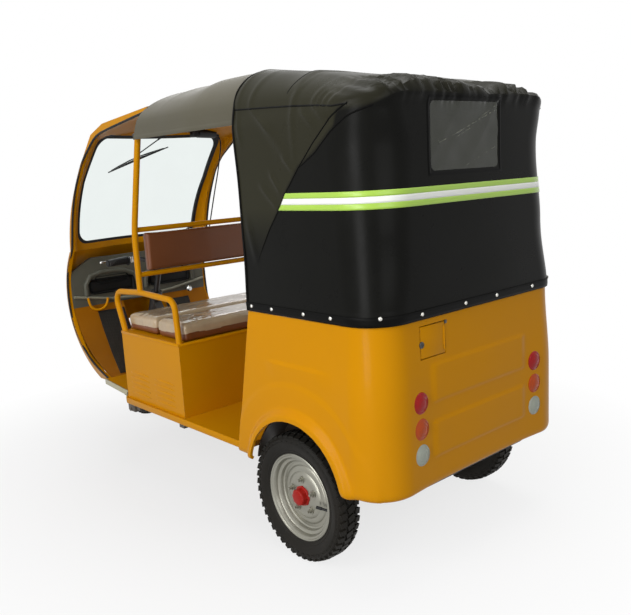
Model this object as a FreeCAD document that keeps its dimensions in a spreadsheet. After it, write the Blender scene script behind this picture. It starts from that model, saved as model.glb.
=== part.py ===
"""Electric auto rickshaw: yellow three-wheeler with a black vinyl canopy.

Millimetres. +Z up, the nose points along -Y, the vehicle's left is +X.
The origin is on the ground below the middle of the vehicle.
"""
import FreeCAD, Part
import math
import os

V = FreeCAD.Vector

# name, value, meaning
SIZES = [
    ("body_half", 525, "half width of the rear body"),
    ("body_bottom", 338, "lower edge of the rear body"),
    ("joint_height", 925, "line where body and canopy meet"),
    ("panel_wall", 20, "thickness of the steel body walls"),
    ("rear_face", 1388, "outer face of the rear panel"),
    ("rear_corner", 135, "plan radius of the rear corners"),
    ("body_front_low", 600, "front edge of the rear body at its foot"),
    ("body_front_top", 733, "front edge of the rear body at the joint"),
    ("panel_seam", 395, "seam between rear panel and quarter panel"),
    ("seam_gap", 0.4, "width of a seam between body panels"),
    ("arch_back", 23, "middle of the wheel arch behind the axle"),
    ("arch_lift", 40, "middle of the wheel arch above the axle"),
    ("arch_gap", 20, "wheel arch radius beyond the tyre's"),
    ("flare_out", 26, "how far the arch flare stands out"),
    ("flare_band", 34, "width of the arch flare in side view"),
    ("housing_wall", 6, "thickness of the inner wheel housings"),
    ("wheel_radius", 243, "outer radius of each tyre"),
    ("tyre_width", 98, "width of each tyre"),
    ("rim_radius", 162, "outer radius of the steel rim"),
    ("rim_width", 74, "width of the rim over its flanges"),
    ("hub_radius", 42, "radius of the wheel hubs"),
    ("track_half", 477, "middle of a rear tyre from the centre plane"),
    ("rear_axle", 942, "rear axle along the vehicle"),
    ("front_axle", -1133, "front axle along the vehicle"),
    ("head_rake", 22, "rake of the steering head in degrees"),
    ("head_trail", 43, "steering axis behind the axle, at axle height"),
    ("head_low", 600, "lower end of the steering head"),
    ("head_high", 760, "upper end of the steering head"),
    ("head_radius", 32, "radius of the steering head tube"),
    ("stem_radius", 16, "radius of the steering stem"),
    ("bar_height", 975, "height of the handlebar clamp"),
    ("leg_side", 78, "fork legs from the centre plane"),
    ("leg_radius", 19, "radius of the fork legs"),
    ("spindle_radius", 9, "radius of the front axle"),
    ("stub_radius", 15, "radius of the rear axle's stubs"),
    ("beam_radius", 30, "radius of the rear axle tube"),
    ("motor_radius", 80, "radius of the drive motor"),
    ("bearing_gap", 0.05, "running clearance of wheels and steering stem"),
    ("fit_gap", 0.3, "gap between pieces that only rest on each other"),
    ("floor_top", 362, "upper face of the floor"),
    ("floor_sheet", 22, "thickness of the floor"),
    ("floor_skirt", 6, "how far the floor's rim hangs below its sheet"),
    ("floor_half", 490, "half width of the floor"),
    ("floor_front", -815, "front edge of the floor"),
    ("frame_tube", 40, "side of the square chassis tube"),
    ("frame_half", 270, "middle of a chassis rail from the centre plane"),
    ("frame_end", 1300, "rear end of the chassis rails"),
    ("box_front", -397, "front face of the seat box"),
    ("box_rear", 130, "rear face of the seat box"),
    ("box_half", 477, "half width of the seat box"),
    ("box_top", 701, "upper face of the seat box"),
    ("box_wall", 15, "thickness of the seat box and bench walls"),
    ("battery_height", 230, "height of the battery pack"),
    ("cushion_high", 82, "thickness of the seat cushions"),
    ("cushion_gap", 6, "seam between the two box cushions"),
    ("seat_split", -124, "where the two box cushions meet"),
    ("rail_radius", 14, "radius of the handrail and post tube"),
    ("rail_rise", 199, "middle of the handrail above the seat box"),
    ("post_place", -195, "foot of the B-post along the vehicle"),
    ("post_lean", 116, "how far the B-post leans back at its top"),
    ("pad_inset", 57, "backrest pad's ends in from the seat box's ends"),
    ("pad_low", 1002, "lower edge of the backrest pad"),
    ("pad_high", 1186, "upper edge of the backrest pad"),
    ("bench_front", 610, "front face of the rear bench"),
    ("bench_rear", 1060, "rear face of the rear bench"),
    ("bench_top", 690, "upper face of the rear bench base"),
    ("bench_back", 400, "height of the rear seat back"),
    ("back_thick", 75, "thickness of the rear seat back"),
    ("roof_edge", 1600, "lower side edge of the front roof cover"),
    ("roof_rise", 228, "crown of the roof above its side edge"),
    ("roof_half", 500, "half width of the roof"),
    ("roof_split", 700, "where front roof cover and rear canopy meet"),
    ("rear_drop", 150, "how much lower the roof is at the rear bow"),
    ("cap_split", -40, "where roof cap and front roof cover meet"),
    ("vinyl", 12, "thickness of the canopy solids"),
    ("hoop_radius", 11, "radius of the roof frame tubes"),
    ("window_wide", 366, "width of the rear window"),
    ("window_high", 220, "height of the rear window"),
    ("window_rise", 475, "lower edge of the rear window above the joint"),
    ("window_shift", 47, "middle of the rear window from the centre plane"),
    ("lamp_radius", 38, "radius of a tail lamp"),
    ("lamp_depth", 18, "how far a tail lamp stands out"),
    ("lamp_side", 339, "tail lamps from the centre plane"),
    ("lamp_low", 470, "height of the lowest tail lamp"),
    ("lamp_pitch", 90, "pitch of the tail lamps"),
    ("headlamp_radius", 75, "radius of a headlamp"),
    ("headlamp_side", 250, "headlamps from the centre plane"),
    ("headlamp_height", 800, "height of the headlamps"),
    ("cowl_top", 1060, "joint between nose cowl and windscreen frame"),
    ("cab_half", 450, "half width of the nose and windscreen frame"),
    ("door_front", -940, "front edge of the driver's doorway"),
    ("glass_half", 376, "half width of the windscreen glass"),
    ("glass_thick", 5, "thickness of the windscreen glass"),
    ("seal_width", 14, "width of the windscreen seal"),
    ("flap_gap", 5, "gap around the charging flap"),
    ("flap_drop", 18, "upper edge of the flap's hole below the joint"),
    ("flap_high", 117, "height of the charging flap's hole"),
    ("flap_near", 198, "hinge edge of the charging flap's hole"),
    ("flap_wide", 131, "width of the charging flap's hole"),
    ("bumper_half", 430, "half length of the rear bumper"),
    ("plate_spacing", 170, "spacing of the two plate holes"),
    ("plate_hole", 3.3, "radius of a plate hole"),
]

doc = FreeCAD.newDocument("auto_rickshaw")
sheet = doc.addObject("Spreadsheet::Sheet", "Sizes")
for row, (alias, number, note) in enumerate(SIZES, 1):
    sheet.set(f"A{row}", alias)
    sheet.set(f"B{row}", str(number))
    sheet.setAlias(f"B{row}", alias)
    sheet.set(f"C{row}", note)
doc.recompute()


class Sizes:
    """The sheet's values, read by name."""

    def __getattr__(self, alias):
        return float(sheet.get(alias))


s = Sizes()
NODES = []
BEYOND = 2000   # farther than any piece reaches, for cutting blocks
SIDES = (1, -1)


# ------------------------------------------------ objects bound to the sheet
def bind(obj, formulas):
    """Binds properties to the sheet: a name in braces is an alias."""
    for prop, text in formulas.items():
        obj.setExpression(prop, text.replace("{", "Sizes.").replace("}", ""))
    return obj


def place(obj, x, y, z):
    """Binds an object's position to formulas."""
    return bind(obj, {"Placement.Base.x": x, "Placement.Base.y": y,
                      "Placement.Base.z": z})


def box(name, x, y, z):
    """Part::Box from three pairs of formulas, low and high."""
    obj = place(doc.addObject("Part::Box", name), x[0], y[0], z[0])
    return bind(obj, {"Length": f"({x[1]}) - ({x[0]})",
                      "Width": f"({y[1]}) - ({y[0]})",
                      "Height": f"({z[1]}) - ({z[0]})"})


TURNS = {"x": (V(0, 1, 0), 90), "y": (V(1, 0, 0), -90), "z": (V(0, 0, 1), 0)}


def bar(name, axis, foot, radius, length):
    """Part::Cylinder that starts at foot and runs along axis x, y or z."""
    obj = doc.addObject("Part::Cylinder", name)
    obj.Placement.Rotation = FreeCAD.Rotation(*TURNS[axis])
    return bind(place(obj, *foot), {"Radius": radius, "Height": length})


def cut(name, base, tool):
    obj = doc.addObject("Part::Cut", name)
    obj.Base, obj.Tool = base, tool
    return obj


def fuse(name, *objects):
    obj = doc.addObject("Part::MultiFuse", name)
    obj.Shapes = list(objects)
    obj.Refine = True
    return obj


def pair(name, *objects):
    """Separate solids of one sub-part."""
    obj = doc.addObject("Part::Compound", name)
    obj.Links = list(objects)
    return obj


def keep(obj, name):
    """Marks an object as a sub-part of the vehicle."""
    obj.Label = name
    NODES.append(obj)
    return obj


def feature(name, shape):
    """A sub-part whose shape comes from Part's own functions."""
    obj = doc.addObject("Part::Feature", name + "_shape")
    obj.Shape = shape
    return keep(obj, name)


def shape_of(name):
    doc.recompute()
    return next(obj.Shape for obj in NODES if obj.Label == name)


# ------------------------------------------------------------ bare geometry
def fillet_arc(before, here, after, radius):
    """Start, middle and end of the arc that rounds the corner at here."""
    u, w = (before - here).normalize(), (after - here).normalize()
    half = u.getAngle(w) / 2
    reach = radius / math.tan(half)
    centre = here + (u + w).normalize() * (radius / math.sin(half))
    return here + u * reach, centre + (here - centre).normalize() * radius, here + w * reach


def rounded(corners, onto):
    """Closed wire through corners (a, b, radius); onto maps (a, b) to 3-D."""
    points = [V(a, b, 0) for a, b, _ in corners]
    edges, last = [], None
    for i, (here, corner) in enumerate(zip(points, corners)):
        start = middle = end = here
        if corner[2]:
            after = points[(i + 1) % len(points)]
            start, middle, end = fillet_arc(points[i - 1], here, after, corner[2])
        if last is None:
            first = start
        else:
            edges.append(Part.makeLine(onto(last), onto(start)))
        if corner[2]:
            edges.append(Part.Arc(onto(start), onto(middle), onto(end)).toShape())
        last = end
    edges.append(Part.makeLine(onto(last), onto(first)))
    return Part.Wire(edges)


def plan(height):
    return lambda p: V(p.x, p.y, height)


def side(across):
    return lambda p: V(across, p.x, p.y)


def front(along):
    return lambda p: V(p.x, along, p.y)


def across(corners, half=BEYOND):
    """Side-view outline made solid across the vehicle."""
    return Part.Face(rounded(corners, side(-half))).extrude(V(2 * half, 0, 0))


def upright(corners, low, high):
    """Plan outline made solid between two heights."""
    return Part.Face(rounded(corners, plan(low))).extrude(V(0, 0, high - low))


def through(corners, near, far):
    """Front-view outline made solid along the vehicle."""
    return Part.Face(rounded(corners, front(near))).extrude(V(0, far - near, 0))


def mirrored(corners):
    """Adds the mirror image of a half outline that starts at +X."""
    return corners + [(-a, b, r) for a, b, r in reversed(corners) if a]


def block(x, y, z):
    return Part.makeBox(x[1] - x[0], y[1] - y[0], z[1] - z[0], V(x[0], y[0], z[0]))


def rod(start, end, radius):
    run = end - start
    return Part.makeCylinder(radius, run.Length, start, run)


def tube(points, radius, bend):
    """Round bar along straight runs joined by tangent arcs."""
    edges, last = [], points[0]
    for before, here, after in zip(points, points[1:], points[2:]):
        start, middle, end = fillet_arc(before, here, after, bend)
        edges.append(Part.makeLine(last, start))
        edges.append(Part.Arc(start, middle, end).toShape())
        last = end
    edges.append(Part.makeLine(last, points[-1]))
    ring = Part.Wire(Part.makeCircle(radius, points[0], points[1] - points[0]))
    return Part.Wire(edges).makePipeShell([ring], True, False)


def largest_solid(shape):
    return max(shape.Solids, key=lambda solid: solid.Volume)


def union(shapes):
    return shapes[0].fuse(shapes[1:]).removeSplitter()


# ---------------------------------------------------------------- chassis
def axis_point(height):
    """Point of the raked steering axis at a height."""
    back = (height - s.wheel_radius) * math.tan(math.radians(s.head_rake))
    return V(0, s.front_axle + s.head_trail + back, height)


def head_direction():
    rake = math.radians(s.head_rake)
    return V(0, math.sin(rake), math.cos(rake))


def chassis():
    """Ladder frame with outriggers under the seat box, neck and steering head."""
    half, tube_side = s.frame_half, s.frame_tube
    top = s.floor_top - s.floor_sheet
    low = top - tube_side
    start, end = s.floor_front, s.frame_end
    levels = (low, top)
    pieces = [block((x - tube_side / 2, x + tube_side / 2), (start, end), levels)
              for x in (-half, half)]
    box_ends = (s.box_front + tube_side, s.box_rear - 2 * tube_side)
    for y in (start, s.bench_front, end - tube_side) + box_ends:
        reach = s.box_half - s.rail_radius if y in box_ends else half
        pieces.append(block((-reach, reach), (y, y + tube_side), levels))
    foot, head = axis_point(s.head_low), axis_point(s.head_high)
    inside = s.head_radius * 0.4
    neck = [(start + tube_side, low, 0), (start, low, 0),
            (foot.y + inside, foot.z + inside, 0), (head.y, head.z - inside, 0),
            (start + 2 * tube_side, foot.z - tube_side, 60)]
    pieces.append(across(neck, s.head_radius * 0.75))
    along = head_direction()
    frame = union(pieces + [rod(foot, head, s.head_radius)])
    bore = rod(foot - along, head + along, s.stem_radius + s.bearing_gap)
    feature("chassis_frame", frame.cut(bore))


def floor_section(name, corners, opening=None):
    """Floor sheet with a rim that hangs along its two sides."""
    sheet_low = s.floor_top - s.floor_sheet
    pan = upright(corners, sheet_low - s.floor_skirt, s.floor_top)
    reach = s.floor_half - s.panel_wall
    pan = pan.cut(block((-reach, reach), (-BEYOND, BEYOND), (0, sheet_low)))
    feature(name, pan.cut(opening) if opening else pan)


def floors():
    """Driver's floor under the seat box and the passengers' footwell."""
    half = s.floor_half
    corners = mirrored([(half, s.box_rear, 0), (half, s.box_front, 30),
                        (half - 60, s.box_front - 90, 120), (half - 95, s.floor_front, 0)])
    neck = block((-s.head_radius, s.head_radius),
                 (s.floor_front - 1, s.floor_front + 2 * s.frame_tube), (0, BEYOND))
    floor_section("floor_pan", corners, neck)
    floor_section("rear_floor", mirrored([(half, s.bench_front - 1, 0),
                                          (half, s.box_rear + s.fit_gap, 0)]))


# ---------------------------------------------------------------- rear body
def arch_centre():
    return V(0, s.rear_axle + s.arch_back, s.wheel_radius + s.arch_lift)


def arch_radius():
    return s.wheel_radius + s.arch_gap


def body_plan(inset):
    """Plan outline of the rear body, open towards the front."""
    half, rear = s.body_half - inset, s.rear_face - inset
    radius = s.rear_corner - inset
    return mirrored([(half, 0, 0), (half, rear, radius)])


def body_walls():
    """Side and rear walls as one shell with a slanted front edge."""
    low, high = s.body_bottom, s.joint_height
    shell = upright(body_plan(0), low, high).cut(upright(body_plan(s.panel_wall), low, high))
    doorway = across([(-1, low, 0), (s.body_front_low, low, 0),
                      (s.body_front_top, high, 0), (-1, high, 0)])
    return shell.cut(doorway)


def arch_solid(radius, near, far, sign):
    """Cylinder about the wheel arch's middle, between two distances from the centre."""
    return Part.makeCylinder(radius, far - near, arch_centre() + V(sign * near, 0, 0),
                             V(sign, 0, 0))


def rear_body():
    walls = body_walls()
    seam, half = s.panel_seam, s.body_half
    levels = (s.body_bottom, s.joint_height)
    below = block((-BEYOND, BEYOND), (0, BEYOND), (-BEYOND, s.body_bottom))
    quarters = []
    for sign in SIDES:
        x = sorted((sign * (seam + s.seam_gap / 2), sign * BEYOND))
        quarter = walls.common(block(x, (0, BEYOND), levels))
        skin = half - s.panel_wall
        edge = arch_radius() + s.flare_band
        flare = arch_solid(edge, skin, half, sign)
        slope = Part.makeCone(edge, edge - s.flare_band * 0.45, s.flare_out,
                              arch_centre() + V(sign * half, 0, 0), V(sign, 0, 0))
        flare = flare.fuse(slope).cut(below)
        opening = arch_solid(arch_radius(), skin - 1, half + s.flare_out + 1, sign)
        quarters.append(quarter.fuse(flare).cut(opening).removeSplitter())
    feature("quarter_panels", Part.makeCompound(quarters))
    panel_half = seam - s.seam_gap / 2
    panel = walls.common(block((-panel_half, panel_half), (0, BEYOND), levels))
    high = s.joint_height - s.flap_drop
    low = high - s.flap_high
    hole = block((s.flap_near, s.flap_near + s.flap_wide), (0, BEYOND), (low, high))
    pin_x, pin_y = hinge_place()
    lug = 5
    pin = rod(V(pin_x, pin_y, low - lug), V(pin_x, pin_y, high + lug), PIN_RADIUS)
    lugs = [block((pin_x - 10, pin_x + 3), (s.rear_face - s.panel_wall, pin_y + 3), (z, z + lug))
            for z in (low - lug, high)]
    feature("rear_panel", union([panel.cut(hole), pin] + lugs))


PIN_RADIUS = 2
BARREL_RADIUS = 4.5


def hinge_place():
    """Flap hinge: its pin stands just outside the panel's face."""
    return s.flap_near + s.flap_gap, s.rear_face + 2


def flap():
    """Lid with a hinge barrel around the pin and a round lock."""
    high = f"({{joint_height}} - {{flap_drop}} - {{flap_gap}})"
    low = f"({high} - {{flap_high}} + 2 * {{flap_gap}})"
    free = "({flap_near} + {flap_wide} - {flap_gap})"
    face = "{rear_face}"
    lid = box("flap_lid", ("{flap_near} + {flap_gap}", free), (f"{face} - 8", face),
              (low, high))
    pin = ("{flap_near} + {flap_gap}", f"{face} + 2")
    barrel = bar("flap_barrel", "z", (*pin, low), f"{BARREL_RADIUS}", f"{high} - {low}")
    lock = bar("flap_lock", "y", (f"{free} - 16", face, f"({low} + {high}) / 2"), "10", "6")
    bore = bar("flap_bore", "z", (*pin, f"{low} - 1"), f"{PIN_RADIUS} + {{bearing_gap}}",
               f"{high} - {low} + 2")
    keep(cut("flap_assembly", fuse("flap_solid", lid, barrel, lock), bore), "charging_flap")


def wheel_housings():
    """Dark inner arches between the bench base and the quarter panels."""
    wall = s.housing_wall
    near = bench_half() + s.fit_gap
    far = s.body_half - s.panel_wall - s.fit_gap
    radius = arch_radius() + wall
    below = block((-BEYOND, BEYOND), (0, BEYOND), (-BEYOND, s.body_bottom))
    shells = [arch_solid(radius + wall, near, far, sign).cut(
        arch_solid(radius, near + wall, far, sign)).cut(below) for sign in SIDES]
    feature("wheel_housings", Part.makeCompound(shells))


def bench_half():
    """Half width of the bench base, which fits between the wheel arches."""
    return s.track_half - s.tyre_width / 2 - 46


def rear_bench():
    """Hollow base, its cushion, the seat back and the frame behind it."""
    half, wall, top = bench_half(), s.box_wall, s.bench_top
    near, far = s.bench_front, s.bench_rear
    base = block((-half, half), (near, far), (s.floor_top - s.floor_sheet, top))
    hollow = block((wall - half, half - wall), (near + wall, far - wall), (0, top - wall))
    deck_half = s.body_half - s.panel_wall - 2
    deck = block((-deck_half, deck_half), (s.body_front_top, far), (top - wall, top))
    wide = deck_half - 18
    seat = (top + s.fit_gap, top + s.cushion_high)
    front_part = block((-half, half), (near - 20, s.body_front_top + 1), seat)
    rear_part = block((-wide, wide), (s.body_front_top, far - s.back_thick), seat)
    feature("rear_seat_cushion", union([front_part, rear_part]))
    low = top + s.fit_gap
    high = top + s.cushion_high + s.bench_back
    feature("rear_seat_back", block((-wide, wide), (far - s.back_thick + s.fit_gap, far),
                                    (low, high)))
    bar_radius = 12
    y = far + bar_radius + s.fit_gap
    bars = [rod(V(x, y, top - wall), V(x, y, high), bar_radius)
            for x in (-0.75 * wide, 0, 0.75 * wide)]
    bars += [rod(V(-wide, y, z), V(wide, y, z), bar_radius)
             for z in (high - 0.8 * s.bench_back, high - 0.1 * s.bench_back)]
    foot = block((-0.8 * wide, 0.8 * wide), (far - wall, y + bar_radius), (top - wall, top))
    feature("rear_bench_base", union([base.cut(hollow), deck, foot] + bars))


def tail_lamps():
    """Three round lenses on each side of the rear panel."""
    for row, word in enumerate(("clear", "amber", "red")):
        height = f"{{lamp_low}} + {row} * {{lamp_pitch}}"
        lenses = [bar(f"lens_{word}_{side_word}", "y", (x, "{rear_face}", height),
                      "{lamp_radius}", "{lamp_depth}")
                  for side_word, x in (("left", "{lamp_side}"), ("right", "-{lamp_side}"))]
        keep(pair(f"lenses_{word}", *lenses), f"tail_lamps_{word}")


# ---------------------------------------------------------------- seat box
def seat_box():
    """Hollow box across the vehicle, the battery pack inside it and two cushions."""
    wall, top, floor = "{box_wall}", "{box_top}", "{floor_top}"
    outer = box("seat_box_block", ("-{box_half}", "{box_half}"),
                ("{box_front}", "{box_rear}"), (floor, top))
    inner = box("seat_box_inside", (f"{wall} - {{box_half}}", f"{{box_half}} - {wall}"),
                (f"{{box_front}} + {wall}", f"{{box_rear}} - {wall}"),
                (floor, f"{top} - {wall}"))
    keep(cut("seat_box_walls", outer, inner), "seat_box")
    space = "4 * {box_wall}"
    keep(box("battery_block", (f"{space} - {{box_half}}", f"{{box_half}} - {space}"),
             (f"{{box_front}} + {space}", f"{{box_rear}} - {space}"),
             (floor, f"{floor} + {{battery_height}}")), "battery_pack")
    edge = "({box_half} - 2 * {rail_radius} - 3)"
    level = (f"{top} + {{fit_gap}}", f"{top} + {{cushion_high}}")
    half_gap = "{cushion_gap} / 2"
    keep(box("cushion_front_block", (f"-{edge}", edge),
             ("{box_front} + 2", f"{{seat_split}} - {half_gap}"), level), "box_cushion_front")
    keep(box("cushion_rear_block", (f"-{edge}", edge),
             (f"{{seat_split}} + {half_gap}", "{box_rear} - 2"), level), "box_cushion_rear")


def rail_side():
    """Middle of handrails and posts from the centre plane."""
    return s.box_half - s.rail_radius


def rail_height():
    return s.box_top + s.rail_rise


def rail_loops(radius):
    """Leaning hoop on each end of the seat box, drawn with a tube radius."""
    x, high = rail_side(), rail_height()
    near, far = s.box_front + s.rail_radius, s.box_rear - s.rail_radius
    sunk = s.box_top - s.rail_radius
    below = block((-BEYOND, BEYOND), (-BEYOND, BEYOND), (0, s.box_top))
    return Part.makeCompound(
        [tube([V(sign * x, near + 5, sunk), V(sign * x, near - 72, high - 8),
               V(sign * x, s.post_place, high + 6), V(sign * x, far - 14, high - 6),
               V(sign * x, far, sunk)], radius, 50).cut(below) for sign in SIDES])


def handrails():
    feature("handrails", rail_loops(s.rail_radius))


def posts():
    """B-posts from the handrails up to the side rails of the roof frame."""
    x, radius = rail_side(), s.rail_radius
    loops = rail_loops(radius + s.fit_gap)
    high = s.roof_edge + RAIL_LIFT - s.hoop_radius - 4
    knee = (rail_height() + high) / 2 - 70
    bars = [tube([V(sign * x, s.post_place, rail_height()), V(sign * x, s.post_place, knee),
                  V(sign * x, s.post_place + s.post_lean, high)], radius, 500).cut(loops)
            for sign in SIDES]
    feature("b_posts", Part.makeCompound([largest_solid(bar) for bar in bars]))


def backrest():
    """Pad across the vehicle, held between two rails."""
    y, radius = s.post_place, 12
    posts_shape = shape_of("b_posts")
    rails = []
    for z in (s.pad_low - radius - s.fit_gap, s.pad_high + radius + s.fit_gap):
        rail = rod(V(-rail_side(), y, z), V(rail_side(), y, z), radius)
        rails.append(largest_solid(rail.cut(posts_shape)))
    feature("backrest_rails", Part.makeCompound(rails))
    keep(box("pad_block", ("{pad_inset} - {box_half}", "{box_half} - {pad_inset}"),
             ("{post_place} - 22", "{post_place} + 22"), ("{pad_low}", "{pad_high}")),
         "backrest_pad")


# ---------------------------------------------------------------- roof
# place, half width, shoulder share of the rise, shoulder radius, crown drop
def roof_rows():
    """Cross sections of the roof from the cap to the rear bow."""
    half = s.roof_half
    return {"cap": (s.cap_split - 60, half - 10, 0.62, 80, 14),
            "split": (s.roof_split, half + 12, 0.71, 130, 0),
            "bow": (s.rear_face + 60, half + 12, 0.70, 60, s.rear_drop)}


CROWN_RADIUS = 900
RAIL_LIFT = 20   # side rails of the roof frame above the roof's side edge


def behind_cover_edge(shift=0):
    """Everything behind the front roof cover's edge, which leans back as it rises."""
    lean, foot = 60 / 145, s.cap_split - 30 + shift
    return across([(foot - lean * s.roof_edge, 0, 0),
                   (foot + lean * (BEYOND - s.roof_edge), BEYOND, 0),
                   (BEYOND, BEYOND, 0), (BEYOND, 0, 0)])


def roof_section(row, inset, low=None):
    """Arch across the vehicle, closed at its side edge or at a lower height."""
    place_y, half, share, radius, drop = row
    rise = s.roof_rise - drop
    shoulder = s.roof_edge + rise * share - inset
    foot = s.roof_edge if low is None else low
    crown = s.roof_edge + rise + 18 - inset
    return mirrored([(half - inset, foot, 0), (half - inset, shoulder, radius - inset / 2),
                     (0, crown, CROWN_RADIUS)])


def canopy_walls(inset):
    """Loft of the canopy's side and rear walls, drawn in at mid height."""
    low, high = s.joint_height, s.roof_edge + s.roof_rise + 60
    # height, change of half width, change of rear face
    rows = ((low, 0, -10), ((low + high) / 2, -30, 8), (high, -10, 0))
    wires = []
    for height, widen, shift in rows:
        half, rear = s.body_half + widen - inset, s.rear_face + shift - inset
        corners = mirrored([(half, 0, 0), (half, rear, s.rear_corner - inset)])
        wires.append(rounded(corners, plan(height)))
    return Part.makeLoft(wires, True, False)


def canopy_solid(inset):
    """Outer form of the rear canopy, drawn in by an inset."""
    rows = roof_rows()
    low = s.joint_height - 1
    sections = []
    for word, widen in (("split", 30), ("bow", 30)):
        y, half, *rest = rows[word]
        section = roof_section((y, half + widen, *rest), inset, low)
        sections.append(rounded(section, front(y)))
    arch = Part.makeLoft(sections, True, True)
    edge, joint = s.roof_split + s.fit_gap, s.joint_height
    doorway = across([(-1, 0, 0), (s.body_front_top, 0, 0), (s.body_front_top, joint, 0),
                      (edge, s.roof_edge, 0), (edge, BEYOND, 0), (-1, BEYOND, 0)])
    return canopy_walls(inset).common(arch).cut(doorway)


def canopy():
    """Sides, rear wall, roof and the clear window of the rear canopy."""
    shell = canopy_solid(0).cut(canopy_solid(s.vinyl))
    low = s.joint_height + s.window_rise
    middle, half, radius = s.window_shift, s.window_wide / 2, 20
    outline = [(middle + a * half, low + b * s.window_high, radius)
               for a, b in ((1, 0), (1, 1), (-1, 1), (-1, 0))]
    window = through(outline, s.rear_face - s.rear_corner, BEYOND)
    y_split = s.rear_face - s.rear_corner
    z_split = s.roof_edge + 40
    walls = shell.common(block((-BEYOND, BEYOND), (0, BEYOND), (0, z_split)))
    lining = s.roof_half / 2
    sides = [walls.common(block(x, (0, y_split), (0, z_split)))
             for x in ((lining, BEYOND), (-BEYOND, -lining))]
    feature("canopy_sides", Part.makeCompound(sides))
    rear = walls.common(block((-BEYOND, BEYOND), (y_split, BEYOND), (0, z_split)))
    feature("canopy_rear", rear.cut(window))
    feature("canopy_roof", shell.common(block((-BEYOND, BEYOND), (0, BEYOND),
                                              (z_split, BEYOND))))
    feature("rear_window", rear.common(window))


def front_roof():
    """Vinyl cover from the roof cap back to the rear canopy."""
    rows = roof_rows()
    lofts = [Part.makeLoft([rounded(roof_section(rows[word], inset), front(rows[word][0]))
                            for word in ("cap", "split")], True, True)
             for inset in (0, s.vinyl)]
    feature("front_roof_cover", lofts[0].cut(lofts[1]).common(behind_cover_edge()))


def roof_frame():
    """Side rails, three hoops, the rear bow and two uprights under the vinyl."""
    radius = s.hoop_radius
    rail_x = s.roof_half - s.vinyl - radius - 18
    z = s.roof_edge + RAIL_LIFT
    rear = s.rear_face - s.rear_corner
    pieces = [rod(V(x, s.cap_split - 70, z), V(x, rear, z), radius)
              for x in (-rail_x, rail_x)]
    bow_place = s.rear_face + 60
    step = (rear - 20 - s.roof_split - 20) / 2
    hoops = [s.cap_split + 90] + [s.roof_split + 20 + i * step for i in range(3)]
    for y in hoops:
        drop = max(0, (y - s.roof_split) / (bow_place - s.roof_split)) * s.rear_drop
        crown = s.roof_edge + s.roof_rise - drop - s.vinyl - radius - 14
        shoulder = z + (crown - z) * 0.52
        path = [V(-rail_x, y, z), V(32 - rail_x, y, shoulder), V(0, y, crown),
                V(rail_x - 32, y, shoulder), V(rail_x, y, z)]
        pieces.append(tube(path, radius - 1, 30))
    for sign in SIDES:
        foot_x = s.body_half - s.panel_wall - 2 * radius
        pieces.append(rod(V(sign * foot_x, s.body_front_top + 27, s.joint_height - 60),
                          V(sign * (rail_x + 2), s.roof_split + 21, z + 3), radius - 0.5))
    feature("roof_frame", union(pieces))


# ---------------------------------------------------------------- cab front
# share of the way up; half width at the doorway and at the corner, both beyond
# cab_half; corner place, corner radius, tip place and tip radius, from the doorway
NOSE = [(0.00, -88, -100, 0, 60, -150, 200),
        (0.36, 2, -12, -135, 110, -345, 300),
        (0.72, 12, -5, -182, 150, -390, 350),
        (1.00, -3, -15, -70, 40, -210, 500)]
CAB = [(0.00, -3, -15, -70, 40, -210, 500),
       (0.42, -6, -15, 70, 40, -62, 500),
       (0.68, -7, -16, 262, 40, 127, 500),
       (1.00, -8, -18, 529, 40, 385, 500)]


def cab_solid(rows, inset, back):
    """Nose or windscreen form lofted through plan outlines."""
    low, high = s.body_bottom, s.cowl_top
    if rows is CAB:
        low, high = s.cowl_top, s.roof_edge + s.roof_rise + 28
    wires = []
    for share, door, half, corner, radius, tip, tip_radius in rows:
        flank = [(s.cab_half + door - inset, back, 0)]
        if rows is NOSE and back > s.door_front + 2:
            flank.append((s.cab_half + door - inset, s.door_front, 0))
        outline = mirrored(flank + [
            (s.cab_half + half - inset, s.door_front + corner + inset * 0.6, radius),
            (0, s.door_front + tip + inset, tip_radius)])
        wires.append(rounded(outline, plan(low + share * (high - low))))
    return Part.makeLoft(wires, True, False)


def nose():
    """Steel cowl around the front wheel's arch, open at its back down to the floor."""
    wall, door, low, high = s.panel_wall, s.door_front, s.body_bottom, s.cowl_top
    back = s.floor_front - s.fit_gap
    shell = cab_solid(NOSE, 0, back).cut(cab_solid(NOSE, wall, back + 1))
    shell = shell.cut(across([(back + 2, low + 12, 0), (door, low + 142, 300),
                              (door - 103, low + 397, 250), (door - 103, high - 155, 200),
                              (door - 28, high + 1, 0), (back + 2, high + 1, 0)]))
    roof, clear = s.head_low - 10, s.leg_side + 252
    arch = across([(s.door_front + 60, 0, 0), (s.door_front + 60, roof, 60),
                   (-BEYOND, roof, 0), (-BEYOND, 0, 0)], clear)
    feature("nose_cowl", shell.cut(arch))


def roof_cap_solid(inset):
    """Roof form ahead of the front cover: it falls towards the windscreen."""
    crown = s.roof_edge + s.roof_rise
    # place along the vehicle, half width, crown's drop, shoulders below the crown
    rows = ((s.cap_split + 100, s.roof_half - 10, 11, 90),
            (s.door_front + 480, s.roof_half - 35, 48, 90),
            (s.door_front + 270, s.roof_half - 50, 118, 80),
            (s.door_front - 360, s.roof_half - 60, 268, 60))
    wires = []
    for y, half, drop, fall in rows:
        section = mirrored([(half + 80, s.cowl_top - 60, 0),
                            (half + 20 - inset, crown - drop - fall - inset, 80),
                            (0, crown - drop + 18 - inset, CROWN_RADIUS)])
        wires.append(rounded(section, front(y)))
    return Part.makeLoft(wires, True, True)


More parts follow.
